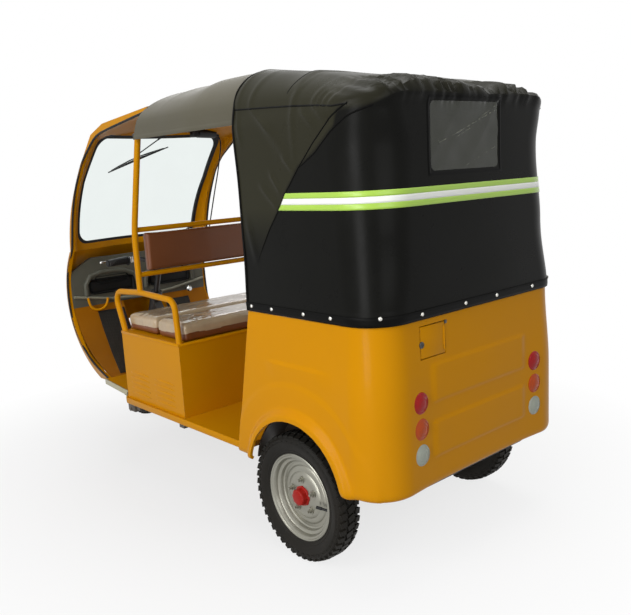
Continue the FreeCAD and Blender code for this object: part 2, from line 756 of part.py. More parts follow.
def windscreen():
    """Windscreen frame with its roof cap, rubber seal and curved glass."""
    wall, door = s.panel_wall, s.door_front
    back = s.cap_split + 100
    outer = cab_solid(CAB, 0, back).common(roof_cap_solid(0))
    shell = outer.cut(cab_solid(CAB, wall, back + 1).common(roof_cap_solid(wall)))
    low, edge = s.cowl_top, s.roof_edge
    rise = edge - low
    doorway = across([(back + 1, low - 1, 0), (back + 1, edge + 130, 0),
                      (door + 400, edge + 52, 60), (door + 175, low + 0.83 * rise, 500),
                      (door + 35, low + 0.43 * rise, 600), (door - 28, low + 1, 0),
                      (door - 28, low - 1, 0)])
    shell = shell.cut(doorway)
    zone = block((-BEYOND, BEYOND), (-BEYOND, door + 330), (low, edge + 80))

    def pane(widen):
        """Hole of the windscreen, grown by a width on every side."""
        half, bottom, top = s.glass_half + widen, low + 48 - widen, edge + 44 + widen
        outline = [(half - 12, bottom, 60), (half, bottom + 0.6 * (top - bottom), 0),
                   (half - 18, top, 60)]
        return through(mirrored(outline), -BEYOND, door + 330)

    hole, sight = pane(s.seal_width), pane(0)
    frame = shell.cut(hole)
    cap = block((-BEYOND, BEYOND), (door + 300, BEYOND), (edge, BEYOND))
    feature("roof_cap", frame.common(cap).cut(behind_cover_edge(-s.fit_gap)))
    feature("windscreen_frame", frame.cut(cap))
    feature("windscreen_seal", shell.common(hole).common(zone).cut(sight))
    thick = s.glass_thick
    skin = cab_solid(CAB, thick, back).cut(cab_solid(CAB, 2 * thick, back + 1))
    feature("windscreen_glass", skin.common(sight).common(zone).common(roof_cap_solid(thick)))


def fairing():
    """Dark inner panel with its open pocket, and the toe board that rises to it."""
    door, top = s.door_front, s.cowl_top
    outline = mirrored([(s.cab_half + 50, top - 320, 0), (s.cab_half + 50, top - 160, 60),
                        (300, top - 50, 80)])
    face = door - 95
    plate = through(outline, face - 25, face)
    plate = plate.common(cab_solid(NOSE, s.panel_wall + s.fit_gap, door + 1))
    pocket = block((-330, 330), (face - 7, face + 1), (top - 262, top - 172))
    feature("inner_fairing", plate.cut(pocket))
    edge, low, high = s.floor_front, s.floor_top, top - 320 - s.fit_gap
    thick = 7
    # rear face of the board from the floor up to the fairing
    line = [(edge, low + s.fit_gap, 0), (edge - 87, low + 120, 300),
            (edge - 166, low + 259, 300), (face - 1, high, 0)]
    board = line + [(face - 1 - thick, high, 0), (edge - 166 - thick, low + 257, 300),
                    (edge - 87 - thick, low + 116, 300), (edge - 3, low - 20, 0)]
    form = cab_solid(NOSE, s.panel_wall + s.fit_gap, edge + 1)
    neck = block((-130, 130), (-BEYOND, 0), (0, BEYOND))
    feature("toe_board", across(board).common(form).cut(neck))


def front_lamps():
    """Round headlamps set into the cowl's face."""
    cowl = shape_of("nose_cowl")
    lamps = []
    for sign in SIDES:
        foot = V(sign * s.headlamp_side, s.door_front - 310, s.headlamp_height)
        lens = Part.makeCylinder(s.headlamp_radius, 70, foot, V(0, 1, 0)).cut(cowl)
        lamps.append(min(lens.Solids, key=lambda solid: solid.CenterOfMass.y))
    feature("headlamps", Part.makeCompound(lamps))


def pedal():
    """Foot brake: an arm that rises out of the floor, and its pad."""
    y, z = s.floor_front + 70, s.floor_top + 78
    arm = rod(V(-120, s.floor_front + 15, s.floor_top - 5), V(-120, y + 5, z), 8)
    pad = block((-155, -85), (y, y + 10), (z - 15, z + 45))
    below = block((-BEYOND, BEYOND), (-BEYOND, 0), (0, s.floor_top))
    feature("brake_pedal", union([arm, pad]).cut(below))


# ---------------------------------------------------------------- steering
def front_axle_point():
    return V(0, s.front_axle, s.wheel_radius)


def fork():
    """Stem, crown, two legs and the front axle as one welded piece."""
    along, axle = head_direction(), front_axle_point()
    stem = rod(axis_point(s.head_low - 45), axis_point(s.bar_height + 5), s.stem_radius)
    collar = rod(axis_point(s.head_high) + along * 6, axis_point(s.head_high) + along * 30,
                 s.head_radius + 2)
    crown_at = axis_point(s.head_low - 40)
    legs = []
    for sign in SIDES:
        foot = axle + V(sign * s.leg_side, 0, 0)
        reach = (crown_at - axle).dot(along) + 12
        legs.append(rod(foot - along * 25, foot + along * reach, s.leg_radius))
    wide = s.leg_side + 22
    crown = block((-wide, wide), (crown_at.y - 66, crown_at.y), (crown_at.z - 8, crown_at.z + 24))
    spindle = rod(axle - V(wide, 0, 0), axle + V(wide, 0, 0), s.spindle_radius)
    feature("fork", union([stem, collar, crown, spindle] + legs))


def handlebar():
    """Swept bar with two grips, and the instrument housing on its middle."""
    clamp = axis_point(s.bar_height)
    # across, back and up from the clamp
    half = ((360, 95, 30), (180, 60, 40), (90, 0, 8))
    path = [clamp + V(-a, b, c) for a, b, c in half]
    path += [clamp + V(a, b, c) for a, b, c in reversed(half)]
    end, knee = V(*half[0]), V(*half[1])
    grips = []
    for sign in SIDES:
        start, stop = (V(sign * p.x, p.y, p.z) for p in (knee + (end - knee) * 0.34,
                                                         knee + (end - knee) * 1.01))
        grips.append(rod(clamp + start, clamp + stop, 17))
    shape = union([tube(path, 11, 45)] + grips).cut(shape_of("fork"))
    feature("handlebar", shape)
    middle = clamp + V(0, 10, 62)
    low = middle.z - 62 + 8 + 11 + s.fit_gap
    feature("instrument_housing", block((-70, 70), (middle.y - 50, middle.y + 40),
                                        (low, middle.z + 60)))


def mudguard():
    """Arched sheet over the front wheel, held from the crown by a stay."""
    axle, half, sheet_thick = front_axle_point(), 58, 4
    inner = s.wheel_radius + 26
    base, run = axle - V(half, 0, 0), V(1, 0, 0)
    ring = Part.makeCylinder(inner + sheet_thick, 2 * half, base, run)
    hollow = Part.makeCylinder(inner, 2 * half, base, run)
    span = across([(axle.y, axle.z, 0), (axle.y - 700, axle.z + 60, 0),
                   (axle.y - 700, BEYOND, 0), (axle.y + 700, BEYOND, 0),
                   (axle.y + 700, axle.z + 120, 0)], half)
    crown_at = axis_point(s.head_low - 40)
    stay = block((-20, 20), (crown_at.y - 56, crown_at.y - 26),
                 (axle.z + inner - 40, crown_at.z - 8))
    feature("front_mudguard", union([ring.cut(hollow).common(span), stay.cut(hollow)]))


# ---------------------------------------------------------------- wheels
def wheel(middle, word, hub_side):
    """Tyre and rim; hub_side is the side of the hub cap, or 0 at the front."""
    r, half = s.wheel_radius, s.tyre_width / 2
    rim, rim_half = s.rim_radius, s.rim_width / 2
    seat, flange = rim - 12, rim_half - 4
    section = lambda p: V(p.x, 0, p.y) + middle
    outline = [(0, r, 0), (half - 18, r - 3, 12), (half, r - 34, 20), (half - 2, rim + 20, 20),
               (flange - 1, rim - 1, 0), (flange - 1, seat + s.fit_gap, 0)]
    corners = mirrored(outline)
    tyre = Part.Face(rounded(corners, section)).revolve(middle, V(1, 0, 0), 360)
    feature(f"{word}_tyre", tyre)
    inner = rim - 26
    half_rim = mirrored([(rim_half, rim, 0), (flange, rim, 0), (flange, seat, 0)])
    bottom = [(-rim_half, seat - 5, 0), (10 - rim_half, inner, 0),
              (rim_half - 10, inner, 0), (rim_half, seat - 5, 0)]
    barrel = Part.Face(rounded(half_rim + bottom, section)).revolve(middle, V(1, 0, 0), 360)
    dish = hub_side * 6
    disc = rod(middle + V(dish - 4, 0, 0), middle + V(dish + 4, 0, 0), inner + 1)
    hub = rod(middle + V(dish - 30, 0, 0), middle + V(dish + 30, 0, 0), s.hub_radius)
    pieces = [barrel, disc, hub]
    pin, near, far = s.spindle_radius, V(-s.leg_side, 0, 0), V(s.leg_side, 0, 0)
    if hub_side:
        cap = V(hub_side * 46, 0, 0)
        pieces.append(rod(middle, middle + cap, 0.62 * s.hub_radius))
        pin, near, far = s.stub_radius, V(-hub_side * 60, 0, 0), V(hub_side * STUB_REACH, 0, 0)
    bore = rod(middle + near, middle + far, pin + s.bearing_gap)
    feature(f"{word}_rim", union(pieces).cut(bore))


STUB_REACH = 28   # the rear stubs end this far outside the tyre's middle
DRUM_WIDE = 35


def wheels():
    wheel(front_axle_point(), "front", 0)
    for sign, word in zip(SIDES, ("left", "right")):
        wheel(V(sign * s.track_half, s.rear_axle, s.wheel_radius), f"rear_{word}", sign)


def rear_axle():
    """Axle tube with stubs, brake drums and gear case; the drive motor beside the case."""
    y, z, radius = "{rear_axle}", "{wheel_radius}", "{beam_radius}"
    reach, end = "({track_half} - 75)", f"({{track_half}} + {STUB_REACH})"
    beam = bar("axle_beam", "x", (f"-{reach}", y, z), radius, f"2 * {reach}")
    stubs = bar("axle_stubs", "x", (f"-{end}", y, z), "{stub_radius}", f"2 * {end}")
    case = bar("gear_case", "x", ("40", y, z), "{motor_radius} + 5", "110")
    drum = f"({reach} + {DRUM_WIDE - 10})"
    drums = [bar(f"drum_{word}", "x", (x, y, z), "{motor_radius} + 8", f"{DRUM_WIDE}")
             for word, x in (("left", f"{drum} - {DRUM_WIDE}"), ("right", f"-{drum}"))]
    keep(fuse("axle_assembly", beam, stubs, case, *drums), "rear_axle")
    motor = bar("motor_case", "x", ("-195", y, z), "{motor_radius}", "234.5")
    bore = bar("motor_bore", "x", (f"-{reach}", y, z), radius, f"2 * {reach}")
    keep(cut("motor_solid", motor, bore), "drive_motor")


def leaf_springs():
    """Bowed leaf spring under each chassis rail, seated on the axle tube."""
    y, seat = s.rear_axle, s.wheel_radius + s.beam_radius + s.fit_gap
    top = s.floor_top - s.floor_sheet - s.frame_tube
    thick, reach = 10, 357
    outline = [(y - reach, top - thick, 0), (y, seat, 0), (y + reach, top - thick, 0),
               (y + reach, top, 0), (y + reach - 55, top, 0), (y, seat + 2 * thick, 0),
               (y - reach + 55, top, 0), (y - reach, top, 0)]
    leaf = across(outline, 25)
    springs = []
    for sign in SIDES:
        spring = leaf.copy()
        spring.translate(V(sign * s.frame_half, 0, 0))
        springs.append(spring)
    feature("leaf_springs", Part.makeCompound(springs))


def rear_bumper():
    """Bar across the frame's end with two holes for a number plate."""
    low, near = "({body_bottom} - 45)", "({frame_end} + 0.2)"
    beam = box("bumper_block", ("-{bumper_half}", "{bumper_half}"), (near, f"{near} + 40"),
               (low, "{body_bottom} - 0.5"))
    holes = [bar(f"plate_hole_{word}", "y", (f"{turn} * {{plate_spacing}} / 2",
                                             f"{near} - 5", f"{low} + 22"),
                 "{plate_hole}", "50") for word, turn in (("left", 1), ("right", -1))]
    keep(cut("bumper_bar", cut("bumper_half_drilled", beam, holes[0]), holes[1]),
         "rear_bumper")


# ---------------------------------------------------------------- build
for build in (chassis, floors, rear_body, flap, wheel_housings, rear_bench, tail_lamps,
              seat_box, handrails, posts, backrest, front_roof, canopy, roof_frame,
              nose, windscreen, fairing, front_lamps, pedal, fork, handlebar, mudguard,
              wheels, rear_axle, leaf_springs, rear_bumper):
    build()
doc.recompute()

for obj in doc.Objects:
    if "Invalid" in obj.State or "Error" in obj.State:
        raise SystemExit(f"{obj.Label}: {obj.State}")
for obj in NODES:
    if obj.Shape.isNull() or not obj.Shape.isValid():
        raise SystemExit(f"{obj.Label}: bad shape")
os.makedirs("parts", exist_ok=True)
for obj in NODES:
    obj.Shape.exportStep(os.path.join("parts", obj.Label + ".step"))
    size = obj.Shape.BoundBox
    print(f"{obj.Label:24s} {len(obj.Shape.Solids)} {size.XMin:8.1f} {size.XMax:8.1f}"
          f" {size.YMin:8.1f} {size.YMax:8.1f} {size.ZMin:8.1f} {size.ZMax:8.1f}")
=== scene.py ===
import math

import bmesh
import bpy
from mathutils import Matrix, Vector, noise


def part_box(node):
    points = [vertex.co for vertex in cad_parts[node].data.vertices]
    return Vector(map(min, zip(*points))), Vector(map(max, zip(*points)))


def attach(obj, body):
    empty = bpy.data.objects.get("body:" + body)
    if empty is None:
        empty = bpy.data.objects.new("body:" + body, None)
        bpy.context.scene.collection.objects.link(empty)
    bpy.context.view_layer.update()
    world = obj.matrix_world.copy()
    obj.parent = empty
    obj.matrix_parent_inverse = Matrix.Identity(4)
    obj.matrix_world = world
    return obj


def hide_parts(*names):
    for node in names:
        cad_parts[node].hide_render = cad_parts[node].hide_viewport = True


bl_info = {
    "name": "Auto Rickshaw",
    "version": (1, 0, 0),
    "blender": (4, 5, 0),
    "location": "View3D > Sidebar > Rickshaw",
    "description": "Builds the painted body, hood, seats and wheels of an auto rickshaw",
    "category": "Object",
}

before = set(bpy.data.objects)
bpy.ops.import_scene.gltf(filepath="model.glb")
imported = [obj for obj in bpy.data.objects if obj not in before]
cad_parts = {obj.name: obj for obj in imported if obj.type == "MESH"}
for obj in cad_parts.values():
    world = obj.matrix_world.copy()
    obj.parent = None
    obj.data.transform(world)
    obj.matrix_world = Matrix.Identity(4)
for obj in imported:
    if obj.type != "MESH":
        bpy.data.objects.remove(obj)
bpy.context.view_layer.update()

# ------------------------------------------------------ places on the frame
QUARTER, HOOD_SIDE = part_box("quarter_panels"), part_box("canopy_sides")
HOOD_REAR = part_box("canopy_rear")
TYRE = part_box("rear_left_tyre")
FLAP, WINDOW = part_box("charging_flap"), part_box("rear_window")
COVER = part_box("front_roof_cover")
BODY_HALF = HOOD_SIDE[1].x
BODY_LOW, JOINT = QUARTER[0].z, QUARTER[1].z
BODY_REAR = QUARTER[1].y
CORNER = BODY_REAR - HOOD_REAR[0].y
BODY_FOOT = QUARTER[0].y
ROOF_EDGE = COVER[0].z
HUB = (TYRE[0] + TYRE[1]) / 2
TYRE_RADIUS = (TYRE[1].z - TYRE[0].z) / 2
ARCH = Vector((0, HUB.y + 0.023, HUB.z + 0.040))
ARCH_RADIUS = TYRE_RADIUS + 0.020
FLAP_GAP = 0.003
SIDES = (1, -1)


# ------------------------------------------------------------ sizes, colours
def shade(red, green, blue):
    """A screen colour, 0 to 255, as the linear colour that a material takes."""
    def linear(v):
        v /= 255
        return v / 12.92 if v <= 0.04045 else ((v + 0.055) / 1.055) ** 2.4
    return (linear(red), linear(green), linear(blue))


def length(label, note, default):
    return bpy.props.FloatProperty(name=label, description=note, default=default,
                                   min=0.0, unit="LENGTH", subtype="DISTANCE")


def colour(label, note, default):
    return bpy.props.FloatVectorProperty(name=label, description=note, size=3,
                                         default=default, min=0.0, max=1.0,
                                         subtype="COLOR")


class RickshawSizes(bpy.types.PropertyGroup):
    panel_wall: length("Panel wall", "Thickness of the body's turned-in steel walls", 0.012)
    flare: length("Arch flare", "How far the wheel arches stand out", 0.024)
    vinyl: length("Vinyl", "Thickness of the hood's cloth", 0.002)
    hem_high: length("Hem", "Height of the hood's bound lower edge", 0.032)
    stripe_low: length("Stripe, lower edge", "Height of the stripe's lower edge", 1.294)
    stripe_high: length("Stripe, upper edge", "Height of the stripe's upper edge", 1.352)
    tread: length("Tread", "Depth of the tyre's tread", 0.008)
    puff: length("Puff", "How far a seat cushion may swell", 0.007)


class RickshawColours(bpy.types.PropertyGroup):
    paint: colour("Paint", "Body paint", shade(205, 138, 1))
    vinyl: colour("Hood vinyl", "Rear wrap of the hood", shade(17, 17, 15))
    side_vinyl: colour("Side vinyl", "Side panels and roof of the hood", shade(45, 44, 33))
    roof_vinyl: colour("Roof vinyl", "Front roof cover", shade(78, 74, 58))
    seat: colour("Seat vinyl", "Seats and backrest", shade(112, 62, 28))
    # The pale cream is a painted sheen on the clear wrap.
    film: colour("Seat film", "Clear wrap over the seats", shade(216, 194, 158))
    lime: colour("Lime", "Edges of the reflective stripe", shade(168, 208, 72))
    rim: colour("Rim", "Steel of the wheels", shade(150, 150, 140))
    hub: colour("Hub cap", "Caps of the rear hubs", shade(158, 14, 8))


def sizes():
    return bpy.context.scene.rickshaw_sizes


def colours():
    return bpy.context.scene.rickshaw_colours


# ----------------------------------------------------------------- finishes
class Shading:
    """Adds nodes to a material's or world's tree and joins their sockets."""

    def __init__(self, owner):
        owner.use_nodes = True
        self.nodes, self.links = owner.node_tree.nodes, owner.node_tree.links

    def add(self, kind, sockets=None, **settings):
        """A node's outputs, its inputs given as values or as the sockets that feed them."""
        made = self.nodes.new("ShaderNode" + kind)
        for key, value in settings.items():
            setattr(made, key, value)
        self.feed(made, sockets or {})
        return made.outputs

    def feed(self, node, sockets):
        for key, value in sockets.items():
            if isinstance(value, bpy.types.NodeSocket):
                self.links.new(value, node.inputs[key])
            else:
                node.inputs[key].default_value = value

    def speckle(self, place, scale, detail, rough=0.5):
        return self.add("TexNoise", {"Vector": place, "Scale": scale, "Detail": detail,
                                     "Roughness": rough})["Fac"]

    def ramp(self, value, start, end, low=0.0, high=1.0):
        return self.add("MapRange", {"Value": value, "From Min": start, "From Max": end,
                                     "To Min": low, "To Max": high})["Result"]

    def maths(self, operation, a, b):
        return self.add("Math", {0: a, 1: b}, operation=operation)[0]

    def blend(self, amount, a, b):
        """One colour over another; MIX_A and MIX_B are the colour inputs of the Mix node."""
        return self.add("Mix", {0: amount, MIX_A: a, MIX_B: b}, data_type="RGBA")[MIX_OUT]


MIX_A, MIX_B, MIX_OUT = 6, 7, 2
DUST = (*shade(120, 100, 76), 1)
FINISHES = {}


def finish(name, tint, rough=0.5, metal=0.0, vary=0.12, patch=6.0, grain=0.15,
           grain_size=350.0, depth=0.0006, coat=0.0, sheen=0.0, clear=0.0, alpha=1.0,
           dust=0.0, wear=None, spread=0.07, shine=0.5):
    """A material with blotches of colour, a fine grain, uneven gloss, dust low down and worn
    edges. A name that was used before gives the same material."""
    if name in FINISHES:
        return FINISHES[name]
    made = FINISHES[name] = bpy.data.materials.new(name)
    tree = Shading(made)
    place = tree.add("TexCoord")["Object"]
    blotch = tree.speckle(place, patch, 5.0, 0.6)
    out = tree.blend(blotch, (*[c * (1 - vary) for c in tint], 1),
                     (*[min(1, c * (1 + vary)) for c in tint], 1))
    if dust:
        height = tree.add("SeparateXYZ", {"Vector": place})["Z"]
        settled = tree.ramp(height, 0.75, 0.25, 0.0, dust)
        amount = tree.maths("MULTIPLY", settled, tree.speckle(place, 24.0, 8.0, 0.7))
        out = tree.blend(amount, out, DUST)
    if wear:
        edge = tree.add("Bevel", {"Radius": 0.004}, samples=4)["Normal"]
        own = tree.add("NewGeometry")["Normal"]
        turn = tree.add("VectorMath", {0: edge, 1: own}, operation="DOT_PRODUCT")["Value"]
        chips = tree.ramp(tree.speckle(place, 60.0, 4.0), 0.48, 0.62)
        rubbed = tree.maths("MULTIPLY", tree.ramp(turn, 0.97, 0.80), chips)
        out = tree.blend(rubbed, out, (*wear, 1))
    gloss = tree.ramp(blotch, 0.3, 0.7, max(0.02, rough - spread), min(1, rough + spread))
    fine = tree.speckle(place, grain_size, 3.0, 0.55)
    bump = tree.add("Bump", {"Height": fine, "Strength": grain, "Distance": depth})["Normal"]
    tree.feed(tree.nodes["Principled BSDF"], {
        "Base Color": out, "Roughness": gloss, "Normal": bump, "Metallic": metal,
        "Coat Weight": coat, "Coat Roughness": 0.08, "Sheen Weight": sheen,
        "Transmission Weight": clear, "Alpha": alpha, "Specular IOR Level": shine})
    return made


def toned(name, near, far, share, **look):
    """A vinyl whose colour goes from far to near by the piece's own attribute of that name."""
    made = finish(name, far, **look)
    tree = Shading(made)
    shader = tree.nodes["Principled BSDF"]
    tone = tree.add("Attribute", attribute_name=share)["Fac"]
    before = shader.inputs["Base Color"].links[0].from_socket
    tree.feed(shader, {"Base Color": tree.blend(tree.ramp(tone, 0.40, 0.95), before,
                                                (*near, 1))})
    return made


def yellow():
    return finish("body_enamel", colours().paint, rough=0.34, vary=0.05, patch=3.0,
                  grain=0.06, grain_size=160, coat=0.05, dust=0.05, shine=0.05,
                  wear=shade(96, 70, 40))


def black_steel():
    return finish("black_steel", shade(24, 24, 25), rough=0.42, vary=0.3, grain=0.25,
                  grain_size=260, dust=0.5, wear=shade(120, 116, 110))


def rubber():
    return finish("soft_rubber", shade(20, 20, 20), rough=0.6, vary=0.25, grain=0.3,
                  shine=0.3)


def binding():
    """The hood's sewn binding: hem, seams and window border."""
    return finish("hood_binding", shade(9, 9, 8), rough=0.42, vary=0.3, grain=0.3,
                  grain_size=500, shine=0.06)


def bright_steel():
    return finish("bright_steel", shade(196, 196, 194), rough=0.24, metal=1.0, vary=0.1,
                  grain=0.1, grain_size=500, wear=shade(230, 230, 228))


# ------------------------------------------------------------- mesh helpers
SAME = 1e-6  # points closer than this are one


def smooth(low, high, value):
    """0 below low, 1 above high, and an easy curve between."""
    t = min(1.0, max(0.0, (value - low) / (high - low)))
    return t * t * (3 - 2 * t)


def bell(value, middle, width):
    return math.exp(-((value - middle) / width) ** 2)


def ridge(t):
    """0 at both ends of a share and 1 in its middle, by straight runs."""
    return 1 - abs(2 * t - 1)


def run_of(keys, value):
    """The two key values round a place, and the share of the way between them."""
    for (a, p), (b, q) in zip(keys, keys[1:]):
        if value <= b:
            return p, q, max(0.0, (value - a) / (b - a))
    return q, q, 1.0


def between(keys, value):
    """Eased value between (place, value) keys."""
    p, q, t = run_of(keys, value)
    return p + (q - p) * smooth(0, 1, t)


def drawn(keys, value, sag=0.0):
    """Straight runs between (place, value) keys, hanging by sag in the middle of each."""
    p, q, t = run_of(keys, value)
    return p + (q - p) * t - sag * 4 * t * (1 - t)


def mesh_of(bm, name):
    mesh = bpy.data.meshes.new(name)
    bm.to_mesh(mesh)
    bm.free()
    return mesh


def shown(name, data):
    """A new object in the scene."""
    obj = bpy.data.objects.new(name, data)
    bpy.context.scene.collection.objects.link(obj)
    return obj


def baked(obj):
    """A mesh of an object as its modifiers leave it."""
    bpy.context.view_layer.update()
    graph = bpy.context.evaluated_depsgraph_get()
    return bpy.data.meshes.new_from_object(obj.evaluated_get(graph))


def opened(mesh):
    """A bmesh of a mesh, which is removed."""
    bm = bmesh.new()
    bm.from_mesh(mesh)
    bpy.data.meshes.remove(mesh)
    return bm


def keep_piece(obj, body, slot=None, replaces=()):
    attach(obj, body)
    if replaces:
        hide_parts(*replaces)
    return obj


def piece(bm, name, material, body="chassis", slot=None, replaces=(), crease=38,
          recalc=True):
    """Turns a bmesh into a finished piece that rides on its body."""
    if recalc:
        bmesh.ops.recalc_face_normals(bm, faces=bm.faces[:])
    mesh = mesh_of(bm, name)
    mesh.shade_smooth()
    mesh.set_sharp_from_angle(angle=math.radians(crease))
    mesh.materials.append(material)
    return keep_piece(shown(name, mesh), body, slot, replaces)


def settle(obj, crease=38):
    """Bakes an object's modifiers into its mesh."""
    mesh = baked(obj)
    old = obj.data
    obj.modifiers.clear()
    obj.data = mesh
    bpy.data.meshes.remove(old)
    mesh.shade_smooth()
    mesh.set_sharp_from_angle(angle=math.radians(crease))
    return obj


def thicken(obj, thick, offset=-1.0):
    solid = obj.modifiers.new("Thickness", "SOLIDIFY")
    solid.thickness, solid.offset = thick, offset
    solid.use_even_offset = False
    return obj


def carve(obj, *cutters):
    """Cuts other meshes out of a piece, and bakes it."""
    tools = []
    for bm in cutters:
        bmesh.ops.recalc_face_normals(bm, faces=bm.faces[:])
        tool = shown("cutter", mesh_of(bm, "cutter"))
        cut = obj.modifiers.new("Cut", "BOOLEAN")
        cut.operation, cut.object, cut.solver = "DIFFERENCE", tool, "EXACT"
        tools.append(tool)
    settle(obj)
    for tool in tools:
        mesh = tool.data
        bpy.data.objects.remove(tool)
        bpy.data.meshes.remove(mesh)
    return obj


def sheet_of(columns, rows, place, bm=None, heart=(0, 0.5, 1.1)):
    """A grid of faces whose points go where place(u, v) says, u and v from 0 to 1.
    Its faces point away from heart."""
    own = bm or bmesh.new()
    made = bmesh.ops.create_grid(own, x_segments=columns, y_segments=rows, size=1)["verts"]
    for vert in made:
        vert.co = place((vert.co.x + 1) / 2, (vert.co.y + 1) / 2)
    faces = list({f for v in made for f in v.link_faces})
    for face in faces:
        face.normal_update()
    facing = sum(f.normal.dot(f.calc_center_median() - Vector(heart)) * f.calc_area()
                 for f in faces)
    if facing < 0:
        bmesh.ops.reverse_faces(own, faces=faces)
    return own


def rounded(bm, edges, offset, steps):
    """Rounds edges off, and gives the points that the rounding made."""
    return bmesh.ops.bevel(bm, geom=edges, offset=offset, segments=steps, affect="EDGES",
                           profile=0.5, material=-1)["verts"]


def block(bm, low, high, round_by=0.0, steps=2):
    """A box from corner to corner with rounded edges."""
    low, high = Vector(low), Vector(high)
    made = bmesh.ops.create_cube(bm, size=1)["verts"]
    bmesh.ops.scale(bm, vec=high - low, verts=made)
    bmesh.ops.translate(bm, vec=(low + high) / 2, verts=made)
    if round_by:
        made = rounded(bm, list({e for v in made for e in v.link_edges}), round_by, steps)
    return made


def side_block(bm, sign, low, high, *rounding):
    """A block on the left for sign 1, and its mirror image on the right for -1."""
    x = sorted((sign * low[0], sign * high[0]))
    block(bm, (x[0], *low[1:]), (x[1], *high[1:]), *rounding)


def ball(bm, centre, radius):
    bmesh.ops.create_uvsphere(bm, u_segments=16, v_segments=10, radius=radius,
                              matrix=Matrix.Translation(centre))


def turned(bm, verts, angle, axis):
    """Turns points about an axis through the origin."""
    bmesh.ops.rotate(bm, verts=verts, cent=(0, 0, 0), matrix=Matrix.Rotation(angle, 3, axis))


def rod(bm, start, end, radius, sides=20, tip=None):
    """A closed round bar between two points."""
    start, end = Vector(start), Vector(end)
    turn = (end - start).to_track_quat("Z", "Y").to_matrix().to_4x4()
    where = Matrix.Translation((start + end) / 2) @ turn
    return bmesh.ops.create_cone(bm, cap_ends=True, cap_tris=False, segments=sides,
                                 radius1=radius, radius2=radius if tip is None else tip,
                                 depth=(end - start).length, matrix=where)["verts"]


def chain(bm, points, radius, sides):
    """Straight bars from each point to the next."""
    for start, end in zip(points, points[1:]):
        rod(bm, start, end, radius, sides)


def lathe(bm, outline, centre, along, steps=48, closed=False):
    """Spins an outline of (radius, distance along the axis) round an axis through centre."""
    along = Vector(along).normalized()
    side = along.orthogonal().normalized()
    verts = [bm.verts.new(Vector(centre) + side * r + along * a) for r, a in outline]
    edges = [bm.edges.new(pair) for pair in zip(verts, verts[1:])]
    if closed:
        edges.append(bm.edges.new((verts[-1], verts[0])))
    bmesh.ops.spin(bm, geom=verts + edges, cent=centre, axis=along, angle=2 * math.pi,
                   steps=steps, use_merge=True, use_duplicate=False)
    bmesh.ops.remove_doubles(bm, verts=bm.verts[:], dist=SAME)


def sweep(name, points, radius, material, slot, sides=6):
    """A round bar along points, as a mesh."""
    curve = bpy.data.curves.new(name, "CURVE")
    curve.dimensions = "3D"
    curve.bevel_depth, curve.bevel_resolution, curve.use_fill_caps = radius, sides, True
    spline = curve.splines.new("NURBS")
    spline.points.add(len(points) - 1)
    for place, point in zip(spline.points, points):
        place.co = (*point, 1)
    spline.order_u, spline.use_endpoint_u, spline.resolution_u = 3, True, 6
    holder = shown(name, curve)
    bm = opened(baked(holder))
    bpy.data.objects.remove(holder)
    bmesh.ops.remove_doubles(bm, verts=bm.verts[:], dist=SAME)
    return piece(bm, name, material, slot=slot)


def dress(material, *nodes):
    """Gives CAD nodes a finish."""
    for name in nodes:
        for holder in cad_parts[name].material_slots:
            holder.material = material


# -------------------------------------------------------- the round-the-back path
SIDE_SHARE, CORNER_SHARE = 0.30, 0.06


def round_back(u, front, half, rear, radius):
    """Place and outward direction on a plan that runs from the left front edge round the back."""
    sign = 1 if u <= 0.5 else -1
    w = min(u, 1 - u)
    if w < SIDE_SHARE:
        place = Vector((half, front + (rear - radius - front) * w / SIDE_SHARE, 0))
        out = Vector((1, 0, 0))
    elif w < SIDE_SHARE + CORNER_SHARE:
        angle = (w - SIDE_SHARE) / CORNER_SHARE * math.pi / 2
        out = Vector((math.cos(angle), math.sin(angle), 0))
        place = Vector((half - radius, rear - radius, 0)) + out * radius
    else:
        t = (w - SIDE_SHARE - CORNER_SHARE) / (0.5 - SIDE_SHARE - CORNER_SHARE)
        place = Vector(((half - radius) * (1 - t), rear, 0))
        out = Vector((0, 1, 0))
    return Vector((place.x * sign, place.y, 0)), Vector((out.x * sign, out.y, 0))


# --------------------------------------------------------------- body panels
FRONT_LEAN = 0.133  # how far the body's front edge leans back over its height
RIBS = ((0.637, 0.766), (0.443, 0.568))  # heights of the rear panel's two pressed fields


def body_point(u, v):
    """A point on the pressed steel body: u round the back, v from the foot to the joint."""
    z = BODY_LOW + (JOINT - BODY_LOW) * v
    front = BODY_FOOT + FRONT_LEAN * v
    place, out = round_back(u, front, BODY_HALF, BODY_REAR, CORNER)
    w = min(u, 1 - u)
    near_corner = bell(w, SIDE_SHARE + CORNER_SHARE / 2, 0.055)
    push = 0.015 * near_corner * smooth(JOINT, 0.62, z)
    curl = max(0.0, 1 - (z - BODY_LOW) / 0.030)
    push -= 0.016 * (1 - math.sqrt(max(0.0, 1 - curl * curl)))
    reach = math.hypot(place.y - ARCH.y, z - ARCH.z)
    if w < SIDE_SHARE + CORNER_SHARE / 2:
        # the flare round the arch, a low swell beyond it, and the pressed line above it
        flare = sizes().flare
        push += flare * (1 - smooth(ARCH_RADIUS + 0.014, ARCH_RADIUS + 0.048, reach))
        push += 0.004 * (1 - smooth(0.380, 0.408, reach))
        swage = (1 - smooth(0.7475, 0.7555, z)) * smooth(0.66, 0.745, z)
        push += 0.0045 * swage * smooth(0.80, 0.87, place.y) * (1 - smooth(1.08, 1.18, place.y))
    else:
        wide = smooth(0.285, 0.250, abs(place.x))
        for low, high in RIBS:
            push += 0.006 * wide * smooth(low - 0.006, low + 0.005, z) * \
                (1 - smooth(high - 0.005, high + 0.006, z))
    return place + out * push + Vector((0, 0, z))


BODY_COLUMNS = (110, 20, 90)  # on a side, at a corner and across the rear


